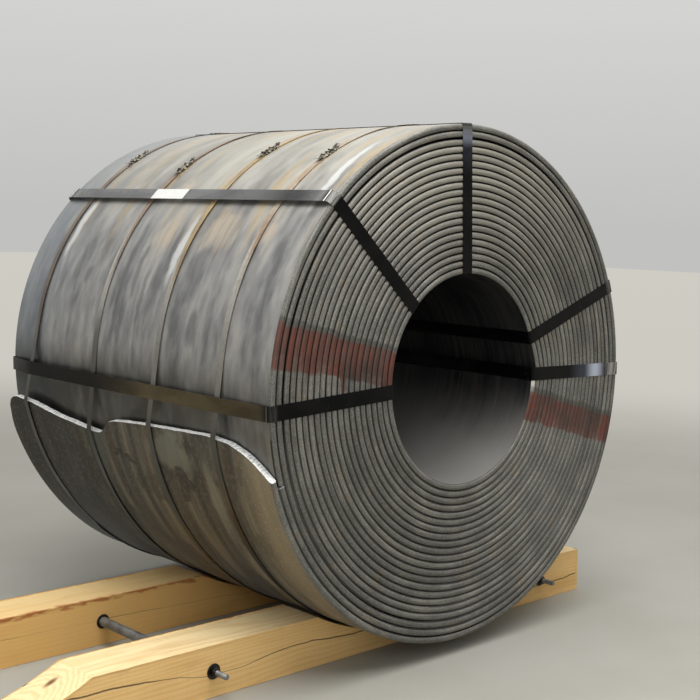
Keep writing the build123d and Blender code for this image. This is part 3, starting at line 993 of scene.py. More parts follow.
@dataclass(frozen=True)
class SawnPine(Finish):
    """Sawn pale pine: growth rings show as lines along the timber and as ovals in the scoops.

    Long drying cracks run along the sides, and sawdust-pale fibres catch the light.
    """

    look: TimberLook
    front_y: float
    rear_y: float
    top_z: float
    pith_aside: float = 0.03
    pith_z: float = -0.06
    ring_width: float = 0.011
    ring: str = "DDB678"

    def draw(self, tree: Tree, place: Any) -> Inputs:
        """Draws rings, fibres, knots, cracks, dirt and the splintered edge.

        Args:
            tree: the material's tree.
            place: the place in the frame.

        Returns:
            The shader's inputs.
        """
        seed = self.look.seed
        axes = add(tree, Kind.SEPARATE, place).outputs
        bend = speckle(tree, place, (0.9, 5, 5), 3, seed)
        radius = self.away(tree, axes, (self.front_y + self.rear_y) / 2 + self.pith_aside, self.pith_z)
        radius = add(tree, Kind.MULTIPLY_ADD, bend, 0.07, radius)
        wave = add(tree, Kind.SINE, add(tree, Kind.MULTIPLY, radius, 2 * math.pi / self.ring_width))
        rings = add(tree, Kind.SPAN, wave, -0.6, 1)
        fibre = speckle(tree, place, (6, 260, 260), 4, seed + 3)
        kerf = speckle(tree, place, (240, 3, 3), 2, seed + 7)
        normal = add(tree, "ShaderNodeNewGeometry").outputs["Normal"]
        flat_top = add(tree, Kind.SPAN, add(tree, Kind.SEPARATE, normal).outputs[2], 0.3, 0.8)
        faint = add(tree, Kind.SPAN, flat_top, 0, 1, 0.2, 0.17)
        grain = add(tree, Kind.MULTIPLY_ADD, rings, faint, add(tree, Kind.MULTIPLY, fibre, 0.55))
        grain = add(tree, Kind.SPAN, add(tree, Kind.MULTIPLY_ADD, kerf, 0.25, grain), 0.25, 0.95)
        colour = add(tree, Kind.MIX, grain, self.look.pale, self.ring)
        colour = add(tree, Kind.MIX, add(tree, Kind.SPAN, flat_top, 0, 1, 0.5, 0), colour, "E0A84E")
        for coat in (Coat((1.6, 7, 7), 5, seed + 13, 0.52, 0.75, 0.4, "C08F4B"),
                     Coat((3.2, 9, 9), 5, seed + 19, 0.58, 0.75, 0.3, "967F58")):
            colour = coat.lay(tree, place, colour)
        colour = self.knotted(tree, place, colour)
        on_side = add(tree, Kind.SPAN, flat_top, 0.5, 0)
        crack = add(tree, Kind.MULTIPLY, self.crack(tree, place, axes), on_side)
        colour = add(tree, Kind.MIX, add(tree, Kind.SPAN, crack, 0, 1, 0, 0.85), colour, "3A2918")
        if self.look.splinter:
            colour = self.splintered(tree, place, axes, colour)
        relief = add(tree, Kind.MULTIPLY_ADD, crack, -1.5, add(tree, Kind.ADD, kerf, fibre))
        return {
            "Base Color": colour, "Roughness": 0.75, "Specular IOR Level": 0.3,
            "Normal": add(tree, Kind.BUMP, 0.3, 0.0012, None, relief),
        }

    @staticmethod
    def away(tree: Tree, axes: Any, y: float, z: float) -> Node:
        """Draws the distance from a line along the timber, at a place across it and a height."""
        across, up = add(tree, Kind.SUBTRACT, axes[1], y), add(tree, Kind.SUBTRACT, axes[2], z)
        return add(tree, Kind.LENGTH, add(tree, Kind.COMBINE, across, up))

    def knotted(self, tree: Tree, place: Any, colour: Node) -> Node:
        """Draws a few dark knots, about 25 mm across and half a metre apart.

        Args:
            tree: the tree.
            place: the place in the frame.
            colour: the wood's colour.

        Returns:
            The colour with its knots.
        """
        start, stretch = (1.03 * self.look.seed, 0.3, 0.1), (1.9, 6, 6)
        spread = add(tree, "ShaderNodeMapping", place, start, None, stretch)
        cells = add(tree, "ShaderNodeTexVoronoi", inputs={"Vector": spread, "Scale": 1, "Randomness": 1})
        knot = add(tree, Kind.SPAN, cells.outputs["Distance"], 0.12, 0.05)
        return add(tree, Kind.MIX, knot, colour, "6B4526")

    def crack(self, tree: Tree, place: Any, axes: Any) -> Node:
        """Draws a long wandering drying crack along the sides, which runs up at the right end.

        Args:
            tree: the tree.
            place: the place in the frame.
            axes: the sockets of the place's coordinates.

        Returns:
            The node that gives the crack's share.
        """
        course, top = self.look.crack, self.top_z
        start, reach = course[0][0], course[-1][0] - course[0][0]
        share = add(tree, Kind.EVEN_SPAN, axes[0], start, start + reach)
        curve = add(tree, "ShaderNodeFloatCurve", inputs={"Value": share})
        points = curve.mapping.curves[0].points
        spots = [((x - start) / reach, z / top) for x, z in course]
        points[0].location, points[1].location = spots[0], spots[-1]
        for spot in (*spots[1:-1], (1, 1)):
            points.new(*spot)
        curve.mapping.update()
        wobble = add(tree, Kind.NOISE_ALONG, axes[0], 9, 4)
        line = add(tree, Kind.MULTIPLY_ADD, curve, -top, axes[2])
        line = add(tree, Kind.ADD, add(tree, Kind.MULTIPLY_ADD, wobble, -0.012, line), 0.006)
        swell = speckle(tree, place, (2, 0.5, 0.5), 3, self.look.seed + 23)
        width = add(tree, Kind.SPAN, swell, 0.38, 0.64, *self.look.crack_half)
        gap = add(tree, Kind.SUBTRACT, width, add(tree, Kind.ABSOLUTE, line))
        return add(tree, Kind.SPAN, gap, -0.0006, 0.0006)

    def splintered(self, tree: Tree, place: Any, axes: Any, colour: Node) -> Node:
        """Draws the bruised orange-brown front top edge.

        Args:
            tree: the tree.
            place: the place in the frame.
            axes: the sockets of the place's coordinates.
            colour: the wood's colour.

        Returns:
            The colour with its bruised edge.
        """
        tear = speckle(tree, place, (16, 60, 60), 8, self.look.seed + 29)
        reach = add(tree, Kind.SPAN, tear, 0.34, 0.66, 0.002, 0.02)
        gap = add(tree, Kind.SUBTRACT, reach, self.away(tree, axes, self.front_y, self.top_z))
        share = add(tree, Kind.SPAN, gap, -0.004, 0.006, 0, self.look.splinter)
        return add(tree, Kind.MIX, share, colour, "B4713F")


@dataclass(frozen=True)
class MottledMetal(Finish):
    """Metal with a mottled or lined skin, which its tones and roughness follow."""

    cells: Triple
    detail: float
    limits: Pair
    tones: Stops
    metallic: float
    roughness: Pair
    relief: float = 0.0

    def draw(self, tree: Tree, place: Any) -> Inputs:
        """Draws a mottled metal.

        Args:
            tree: the material's tree.
            place: the place in the frame.

        Returns:
            The shader's inputs.
        """
        skin = speckle(tree, place, self.cells, self.detail)
        tone = add(tree, Kind.SPAN, skin, *self.limits)
        inputs = {
            "Base Color": add(tree, Kind.RAMP, tone, stops=self.tones), "Metallic": self.metallic,
            "Roughness": add(tree, Kind.SPAN, skin, *self.limits, *self.roughness),
        }
        if self.relief:
            inputs["Normal"] = add(tree, Kind.BUMP, self.relief, 0.001, None, skin)
        return inputs


# Fresh break through the plate: bright bare steel with tear lines through its thickness.
TORN_STEEL = MottledMetal("torn_steel", (60, 170, 60), 3, (0.3, 0.65), (
    (0, "9FA09E"), (0.35, "CDCECB"), (1, "ECECE9")), 0.35, (0.42, 0.42), 0.2)
# Crimped steel seal: dark oxide with bright scrapes where the tool bit.
CRIMPED_SEAL = MottledMetal("crimped_seal_steel", (120, 60, 120), 4, (0.34, 0.66), (
    (0, "141312"), (0.45, "24221F"), (0.65, "5F5848"), (1, "BDB6A2")), 0.5, (0.42, 0.42))
# Galvanised rod and pipe: mottled zinc bloom, duller on the pipe.
BRIGHT_ZINC = MottledMetal("galvanised_thread", (45, 25, 45), 4, (0.3, 0.7), (
    (0, "6A6A68"), (1, "9A9A98")), 0.6, (0.39, 0.53))
DULL_ZINC = MottledMetal("galvanised_pipe_skin", (45, 25, 45), 4, (0.3, 0.7), (
    (0, "5C5D5C"), (1, "82837F")), 0.5, (0.44, 0.58))
# Oil-blackened washers and nuts: a dark skin with a dull gloss.
BLACKENED = MottledMetal("oil_blackened_steel", (45, 25, 45), 4, (0.3, 0.7), (
    (0, "141414"), (1, "2A2A29")), 0.5, (0.34, 0.48))


@dataclass(frozen=True)
class Concrete(Finish):
    """Plain pale floor, trowelled smooth, with the faintest clouding."""

    name: str = "pale_floor"

    def draw(self, tree: Tree, place: Any) -> Inputs:
        """Draws a pale even grey that fades into the backdrop.

        Args:
            tree: the material's tree.
            place: the place in the frame.

        Returns:
            The shader's inputs.
        """
        cloud = add(tree, Kind.SPAN, speckle(tree, place, 1.2, 4), 0.3, 0.7)
        colour = add(tree, Kind.MIX, cloud, "A19F95", "A9A79E")
        rays = add(tree, "ShaderNodeLightPath").outputs
        seen = add(tree, Kind.MAXIMUM, rays["Is Camera Ray"], rays["Is Glossy Ray"])
        seen = add(tree, Kind.MAXIMUM, seen, rays["Is Transmission Ray"])
        far = add(tree, Kind.SPAN, add(tree, Kind.LENGTH, place), 3, 9)
        far = add(tree, Kind.MULTIPLY, far, seen)
        return {
            "Base Color": add(tree, Kind.MIX, far, colour, "000000"), "Roughness": 0.7,
            "Emission Strength": far, "Emission Color": "C4C2B8", "Specular IOR Level": 0.2,
        }


@dataclass
class WoundTurns:
    """Turns under the outer one, wound by Geometry Nodes from a spiral and the plate's section."""

    gauge: CoilGauge
    steps_per_turn: int = 120
    stray: float = 0.0026
    calm_turn: float = 19.6

    def sizes(self) -> dict[str, float]:
        """Named inputs of the tree that winds the plate."""
        gauge = self.gauge
        turns = gauge.whole_turns - gauge.outer_span / 360
        return {
            "Steps": turns * self.steps_per_turn, "Turns": turns, "Whole Turns": gauge.whole_turns,
            "Head Angle": math.radians(gauge.head_angle), "Head Blend": gauge.head_blend / 360,
            "Rise": gauge.rise, "Middle Radius": gauge.bore + gauge.plate / 2,
            "Loose Seam": gauge.loose_seam, "Plate": gauge.plate, "Width": gauge.width,
            "Edge Radius": gauge.edge_radius, "Stray": 2 * self.stray,
        }

    def tree(self, skin: Material) -> Tree:
        """Builds the node tree that winds the plate.

        Args:
            skin: the material set on the whole plate.

        Returns:
            The tree, with its sizes as named inputs.
        """
        tree = bpy.data.node_groups.new("wound_plate", "GeometryNodeTree")
        tree.interface.new_socket("Geometry", in_out="OUTPUT", socket_type="NodeSocketGeometry")
        for name in self.sizes():
            tree.interface.new_socket(name, in_out="INPUT", socket_type="NodeSocketFloat")
        given = add(tree, "NodeGroupInput").outputs
        count = add(tree, "FunctionNodeFloatToInt", given["Steps"])
        line = add(tree, "GeometryNodeResampleCurve",
                   inputs={"Curve": add(tree, "GeometryNodeCurvePrimitiveLine"), "Count": count})
        share = add(tree, "GeometryNodeSplineParameter").outputs["Factor"]
        turn = add(tree, Kind.MULTIPLY, share, given["Turns"])
        radius = self.radius_nodes(tree, given, turn)
        swing = add(tree, Kind.MULTIPLY_ADD, turn, -2 * math.pi, given["Head Angle"])
        flat = [add(tree, Kind.MULTIPLY, radius, add(tree, kind, swing))
                for kind in (Kind.COSINE, Kind.SINE)]
        sway = add(tree, Kind.SUBTRACT, add(tree, Kind.NOISE_ALONG, turn, 2.7, 2.0), 0.5)
        for share in (add(tree, Kind.EVEN_SPAN, turn, given["Turns"], self.calm_turn), given["Stray"]):
            sway = add(tree, Kind.MULTIPLY, sway, share)
        spot = add(tree, Kind.COMBINE, *flat, sway)
        line = add(tree, "GeometryNodeSetPosition", line, None, spot)
        line = add(tree, "GeometryNodeSetCurveNormal", line, mode="Z_UP")
        line = add(tree, "GeometryNodeStoreNamedAttribute", line, None, "turn", turn, data_type="FLOAT",
                   domain="POINT")
        section = self.section_nodes(tree, given)
        plate = add(tree, "GeometryNodeCurveToMesh",
                    inputs={"Curve": line, "Profile Curve": section, "Fill Caps": True})
        plate = add(tree, "GeometryNodeSetShadeSmooth", plate, None, True)
        middle = tuple(self.gauge.hub((self.gauge.front_y + self.gauge.rear_y) / 2))
        upright = (math.pi / 2, 0.0, 0.0)
        plate = add(tree, "GeometryNodeTransform",
                    inputs={"Geometry": plate, "Translation": middle, "Rotation": upright})
        plate = add(tree, "GeometryNodeRealizeInstances", plate)
        plate = add(tree, "GeometryNodeSetMaterial", plate, None, skin)
        add(tree, "NodeGroupOutput", plate)
        return tree

    def radius_nodes(self, tree: Tree, given: Any, turn: Node) -> Node:
        """Adds the radius of the plate's middle, as in the gauge's inner radius.

        Args:
            tree: the tree.
            given: its input sockets.
            turn: the node that gives the turns from the head.

        Returns:
            The node that gives the radius.
        """
        start = add(tree, Kind.SUBTRACT, 1.0, given["Head Blend"])
        step = add(tree, Kind.SPAN, add(tree, Kind.FRACTION, turn), start)
        stepped = add(tree, Kind.ADD, add(tree, Kind.FLOOR, turn), step)
        even = add(tree, Kind.DIVIDE, turn, given["Whole Turns"])
        layers = add(tree, "ShaderNodeMix", even, stepped, turn, data_type="FLOAT")
        loose = self.gauge.loose_seam_turn
        seam = add(tree, Kind.SPAN, turn, loose, loose + 1, None, given["Loose Seam"])
        radius = add(tree, Kind.MULTIPLY_ADD, layers, given["Rise"], given["Middle Radius"])
        return add(tree, Kind.ADD, radius, seam)

    @staticmethod
    def section_nodes(tree: Tree, given: Any) -> Node:
        """Adds the plate's section, a long bar with round mill edges.

        Args:
            tree: the tree.
            given: its input sockets.

        Returns:
            The node that gives the section with its stored place.
        """
        bar = add(tree, "GeometryNodeCurvePrimitiveQuadrilateral",
                  inputs={"Width": given["Plate"], "Height": given["Width"]}, mode="RECTANGLE")
        bar = add(tree, "GeometryNodeFilletCurve", mode="POLY", inputs={
            "Curve": bar, "Radius": given["Edge Radius"], "Count": 4, "Limit Radius": True})
        depth, across, _ = add(tree, Kind.SEPARATE, add(tree, "GeometryNodeInputPosition")).outputs
        depth = add(tree, Kind.DIVIDE, depth, add(tree, Kind.MULTIPLY, given["Plate"], 0.5))
        stored = add(tree, Kind.COMBINE, depth, across)
        return add(tree, "GeometryNodeStoreNamedAttribute", data_type="FLOAT_VECTOR", domain="POINT",
                   inputs={"Geometry": bar, "Name": "section", "Value": stored})

    def build(self, edge: Material, bore: Material, torn: Material) -> Piece:
        """Winds the turns and gives their faces the right material.

        Args:
            edge: finish of the ends.
            bore: finish of the bore, and of the hidden faces, which only the seams show.
            torn: finish of the cut head.

        Returns:
            The finished piece.
        """
        sizes, tree = self.sizes(), self.tree(bore)
        holder = place_object("wound_turns_seed", bpy.data.meshes.new("wound_turns_seed"))
        winder = holder.modifiers.new("wound_plate", "NODES")
        winder.node_group = tree
        for socket in tree.interface.items_tree:
            if socket.in_out == "INPUT":
                winder[socket.identifier] = float(sizes[socket.name])
        graph = bpy.context.evaluated_depsgraph_get()
        mesh = bpy.data.meshes.new_from_object(holder.evaluated_get(graph), depsgraph=graph)
        bpy.data.objects.remove(holder)
        mesh.name = "wound_turns"
        self.sort_faces(mesh)
        return settle(place_object("wound_turns", mesh), Slot.COIL, "coil", bore, edge, torn, bore)

    def sort_faces(self, mesh: bpy.types.Mesh) -> None:
        """Gives each face the material number of its region, with a sharp edge between regions.

        Args:
            mesh: the wound turns.
        """
        section = np.zeros(len(mesh.vertices) * 3, np.float32)
        turn = np.zeros(len(mesh.vertices), np.float32)
        mesh.attributes["section"].data.foreach_get("vector", section)
        mesh.attributes["turn"].data.foreach_get("value", turn)
        section = section.reshape(-1, 3)
        rim = self.gauge.width / 2 - 0.98 * self.gauge.edge_radius
        regions, beside = [], {}
        for face in mesh.polygons:
            corners = list(face.vertices)
            region = Region.SKIN
            if len(corners) > 4:
                region = Region.TORN
            elif np.abs(section[corners, 1]).min() > rim:
                region = Region.EDGE
            elif section[corners, 0].max() < -0.9 and turn[corners].min() < 1.0:
                region = Region.BORE
            regions.append(region.value)
            for key in face.edge_keys:
                beside.setdefault(key, set()).add(region)
        mesh.polygons.foreach_set("material_index", regions)
        sharp = mesh.attributes.get("sharp_edge") or mesh.attributes.new("sharp_edge", "BOOLEAN", "EDGE")
        flags = [len(beside.get(tuple(sorted(edge.vertices)), ())) > 1 for edge in mesh.edges]
        sharp.data.foreach_set("value", flags)


@dataclass
class OuterTurn:
    """Last turn of the plate, with its sprung and torn tail."""

    gauge: CoilGauge
    columns: int = 112
    tail_rows: int = 26
    row_step: float = 2.2
    rim_steps: int = 4
    break_rows: int = 4
    break_bulge: float = 0.001
    break_grain: tuple[Pair, ...] = ((90, 0.0011), (260, 0.0006))
    tear_lengths: Pair = (0.045, 0.012)
    tear_waver: float = 0.11

    def chain(self) -> tuple[Array, Array]:
        """Upper half of the plate's section, from the front rim to the rear rim.

        Returns:
            Depths from zero at mid-thickness to one at the outside, and setbacks.
        """
        radius, width = self.gauge.edge_radius, self.gauge.width
        swing = np.linspace(0, math.pi / 2, self.rim_steps + 1)
        rim = np.concatenate([radius * (1 - np.cos(swing)), [radius + 0.006, radius + 0.02]])
        middle = np.linspace(radius + 0.035, width - radius - 0.035, self.columns)
        setbacks = np.concatenate([rim, middle, (width - rim)[::-1]])
        depths = np.ones(len(setbacks))
        depths[:len(swing)] = np.sin(swing)
        depths[-len(swing):] = np.sin(swing)[::-1]
        return depths, setbacks

    def build(self, edge: Material, skin: Material, torn: Material) -> Piece:
        """Builds the turn as a closed plate.

        Args:
            edge: finish of the mill edges.
            skin: finish of the faces.
            torn: finish of the break.

        Returns:
            The finished piece.
        """
        gauge = self.gauge
        upper_depth, upper_setback = self.chain()
        depth = np.concatenate([upper_depth, -upper_depth[-2:0:-1]])
        setback = np.concatenate([upper_setback, upper_setback[-2:0:-1]])
        long, short = self.tear_lengths
        ragged = np.array([wander(s, long, 3.1) + 0.5 * wander(s, short, 7.7) for s in setback])
        edge_angle = gauge.edge_angle(setback) + self.tear_waver * ragged
        rows = [edge_angle + (gauge.root_angle - edge_angle) * share
                for share in np.linspace(0, 1, self.tail_rows)]
        steps = round((gauge.outer_span + gauge.tip_angle - gauge.root_angle) / self.row_step)
        rows += [np.full(len(setback), gauge.root_angle + number * self.row_step)
                 for number in range(1, steps + 1)]
        angles = np.array(rows)
        radius = gauge.tail_outside(angles, gauge.lift(setback)) + (depth - 1) / 2 * gauge.plate
        points = gauge.place(radius, angles, gauge.front_y + setback).reshape(-1, 3)
        loop = len(setback)
        faces = tube(len(angles), loop, False)
        front_cap = faces.pop(-2)
        flat = np.abs(depth) >= 0.999
        regions = [Region.SKIN.value if flat[c[0] % loop] and flat[c[1] % loop] else Region.EDGE.value
                   for c in faces]
        rough, grid = self.broken_face(points, len(upper_depth), len(front_cap))
        regions += [Region.TORN.value] * len(grid)
        item = piece("outer_turn", np.vstack([points, rough]), faces + grid, regions)
        self.note_places(item, angles, depth, setback)
        return settle(item, Slot.COIL, "coil", skin, edge, torn)

    def broken_face(self, points: Array, half: int, ring: int) -> Shell:
        """Builds the rough face of the break between the plate's two faces.

        Args:
            points: the plate's points, of which the first ring lies at the break.
            half: the number of points in the section's upper half.
            ring: the number of points in the whole section.

        Returns:
            The points that it adds, and its faces.
        """
        upper = list(range(half))
        lower = [0] + [ring - k for k in range(1, half - 1)] + [half - 1]
        grid, extra = [upper], []
        for row in range(1, self.break_rows):
            share = row / self.break_rows
            numbers = [upper[0]]
            for k in range(1, half - 1):
                spot = points[upper[k]] * (1 - share) + points[lower[k]] * share
                rough = sum(noise.noise(Vector(spot * cells)) * deep for cells, deep in self.break_grain)
                numbers.append(len(points) + len(extra))
                extra.append(spot + np.array([0.0, 0.0, rough + self.break_bulge]))
            grid.append(numbers + [upper[-1]])
        grid.append(lower)
        faces = [list(dict.fromkeys([first[k], first[k + 1], second[k + 1], second[k]]))
                 for first, second in zip(grid, grid[1:]) for k in range(half - 1)]
        return np.array(extra), [face for face in faces if len(face) > 2]

    def note_places(self, item: Piece, angles: Array, depth: Array,
                    setback: Array) -> None:
        """Stores the place on the unrolled plate for the materials.

        Args:
            item: the turn.
            angles: a row of angles for each ring.
            depth: depths of a ring's points.
            setback: their setbacks.
        """
        gauge = self.gauge
        turn = gauge.turn_at(angles).ravel()
        across = np.tile(setback - gauge.width / 2, len(angles))
        arc = np.radians(angles).ravel() * gauge.tip_radius
        rest = len(item.data.vertices) - len(arc)
        for name, first in (("unrolled", arc), ("section", np.tile(depth, len(angles)))):
            values = np.stack([first, across, 0 * arc], axis=1)
            note(item, name, np.vstack([values, np.zeros((rest, 3))]))
        note(item, "turn", np.concatenate([turn, np.full(rest, turn[0])]))


def ribbon(half: float, thin: float, flat: float, crown: Sequence[Pair] = ()) -> list[Pair]:
    """Section of a strap with its corners taken off.

    Args:
        half: half its width.
        thin: half its thickness.
        flat: share of the width that is flat.
        crown: points added on its outer face.

    Returns:
        Points of the section.
    """
    return [(-half, -thin * 0.5), (-half * flat, -thin), (half * flat, -thin), (half, -thin * 0.5),
            (half, thin * 0.5), (half * flat, thin), *crown, (-half * flat, thin), (-half, thin * 0.5)]


def notch(along: float, length: float, reach: float) -> tuple[float, int]:
    """Depth from zero to one, and number, of the notch at a place along a seal with three of them."""
    share = (along / length + 0.5) * 3
    return max(0.0, 1 - abs(share % 1 - 0.5) / reach), int(share)


@dataclass
class GirthStrapping:
    """Narrow straps round the outside, which bridge from the turn below to the tail's edge."""

    gauge: CoilGauge
    thickness: float = 0.0011
    gap: float = 0.0003
    tip_lead: float = 0.1
    roll: float = 0.0048
    step: float = 2.0
    skins: tuple[StrapSteel, ...] = (
        StrapSteel("rusted_strapping_1", 1.34, 0.12, "B5A68E", "8C6E50", 0.1, 4.0),
        StrapSteel("rusted_strapping_2", 1.26, 0.12, "B49A62", "856C48", 0.2, 8.0),
        StrapSteel("rusted_strapping_3", 1.32, 0.10, "7A6048", "54402F", 0.6, 12.0),
        StrapSteel("rusted_strapping_4", 1.02, 0.10, "6C522F", "47331F", 0.75, 16.0),
    )
    seal_angles: tuple[float, ...] = (120.8, 118.9, 125.9, 121.2)
    seal_length: float = 0.057
    seal_half_width: float = 0.0195
    seal_height: float = 0.0035
    seal_crown: float = 0.001
    seal_waver: float = 0.0006
    notch_reach: float = 0.17
    notch_cut: float = 0.006
    notch_lift: float = 0.0045
    notch_twist: float = 0.004
    end_lengths: Pair = (0.03, 0.042)
    end_half_width: float = 0.0145
    end_tuck: float = 0.004
    end_gap: float = 0.0015
    end_curl: float = 0.010

    def route(self, setback: float, width: float) -> tuple[Array, Array]:
        """Angles and radii of a strap's middle line.

        Args:
            setback: place of the strap's middle behind the front face.
            width: the strap's width.

        Returns:
            Angles from the tail's root round to the root again, and radii.
        """
        gauge = self.gauge
        rise = self.gap + self.thickness / 2
        lift = gauge.lift(setback + width / 2)
        edges = gauge.edge_angle(setback + np.array([-width / 2, 0.0, width / 2]))
        tip = float(edges.min()) - self.tip_lead
        tip_radius = float(gauge.tail_outside(tip, lift)) + rise
        below = float(gauge.outside(tip + 345)) + rise
        touch = tip + 360 - math.degrees(math.acos(below / tip_radius))
        around = np.arange(gauge.root_angle + self.step, touch, self.step)
        start = spoke(math.radians(touch)) * (gauge.outside(np.array(touch)) + rise)
        end = spoke(math.radians(tip)) * tip_radius
        bridge = [start + (end - start) * share for share in np.linspace(0, 1, 8)]
        bridge_angle = np.degrees(np.unwrap([math.atan2(p[2], p[0]) for p in bridge]))
        bridge_angle += 360 * round((touch - bridge_angle[0]) / 360)
        over = np.arange(tip + 1.0, gauge.root_angle + 0.01, 1.5)
        return (np.concatenate([around, bridge_angle, over + 360]),
                np.concatenate([gauge.outside(around) + rise, [math.hypot(p[0], p[2]) for p in bridge],
                                gauge.tail_outside(over, lift) + rise]))

    def strap(self, number: int, finish: Material) -> Piece:
        """Builds one strap as a thin ribbon that leans a little on its front edge.

        Args:
            number: the strap's number, counted from the front.
            finish: its material.

        Returns:
            The finished piece.
        """
        low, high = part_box(f"girth_strap_{number}")
        middle, width = (low.y + high.y) / 2, high.y - low.y
        angles, radii = self.route(middle - self.gauge.front_y, width)
        centres = self.gauge.place(radii, angles, np.full(len(angles), middle))
        outward = np.array([spoke(turn) for turn in np.radians(angles)])
        rolls = np.array([self.roll * max(0.0, 0.6 + 0.8 * wander(a, 40.0, number)) for a in angles])
        lean = ALONG_AXIS - outward * (rolls / width)[:, None]
        lean /= np.linalg.norm(lean, axis=1)[:, None]
        centres = centres + outward * (rolls / 2)[:, None]
        section = ribbon(width / 2, self.thickness / 2, 0.985)
        shell = swept(centres, lean, outward, [section] * len(centres), True)
        item = piece(f"girth_strapping_{number}", *shell)
        note(item, "across", np.tile([2 * u / width for u, _ in section], len(centres)))
        return settle(item, Slot.GIRTH_STRAP, f"girth_strap_{number}", finish)

    def seal(self, number: int, finish: Material) -> Piece:
        """Builds the crimped seal of one strap with the strap's loose ends beyond it.

        Args:
            number: the strap's number.
            finish: its material.

        Returns:
            The finished piece.
        """
        low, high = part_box(f"girth_strap_{number}")
        hub = self.gauge.hub((low.y + high.y) / 2)
        angle, length = self.seal_angles[number - 1], self.seal_length
        radius = float(self.gauge.outside(np.array(angle))) + 2 * self.gap + self.thickness
        stations = np.linspace(-length / 2, length / 2, 49)
        outs = [spoke(math.radians(angle) + s / radius) for s in stations]
        crimp = swept([hub + out * radius for out in outs], [ALONG_AXIS] * len(outs), outs,
                      [self.crimp(s, number) for s in stations])
        ends = [self.loose_end(way, math.radians(angle), radius, hub, number) for way in (-1, 1)]
        item = piece(f"girth_crimp_{number}", *merged([crimp, *ends]))
        return settle(item, Slot.GIRTH_SEAL, f"girth_seal_{number}", finish)

    def crimp(self, along: float, number: int) -> list[Pair]:
        """Section of a seal, bent up and twisted at its notches.

        Args:
            along: the place along the seal.
            number: the strap's number.

        Returns:
            Points of the section.
        """
        bite, which = notch(along, self.seal_length, self.notch_reach)
        half = self.seal_half_width - self.notch_cut * bite
        lift = self.seal_height + self.notch_lift * bite + self.seal_waver * wander(along, 0.008, number)
        twist = self.notch_twist * bite * (1 if which % 2 else -1)
        crown = lift + self.seal_crown
        return [(-half, max(0.0, twist)), (-half, lift + twist), (-half * 0.8, crown),
                (half * 0.8, crown), (half, lift - twist), (half, max(0.0, -twist))]

    def loose_end(self, way: int, turn: float, radius: float, hub: Array, number: int) -> Shell:
        """Builds one cut strap end that sticks out of a seal and curls up.

        Args:
            way: the side of the seal, as a sign.
            turn: the seal's angle in radians.
            radius: the strap's radius there.
            hub: the point of the coil's axis beside it.
            number: the strap's number.

        Returns:
            Points and faces.
        """
        shortest, longest = self.end_lengths
        length = shortest + (longest - shortest) * abs(wander(number + way, 1.0, 9.0))
        centres, outs, sections = [], [], []
        for s in np.linspace(0, length, 7):
            half = self.end_half_width * (1 - max(0.0, s / length - 0.75))
            out = spoke(turn + way * (self.seal_length / 2 - self.end_tuck + s) / radius)
            outs.append(out)
            centres.append(hub + out * (radius + self.end_gap + self.end_curl * (s / length) ** 2))
            sections.append([(-half, 0.0), (half, 0.0), (half, self.thickness), (-half, self.thickness)])
        return swept(centres, [ALONG_AXIS] * len(outs), outs, sections)


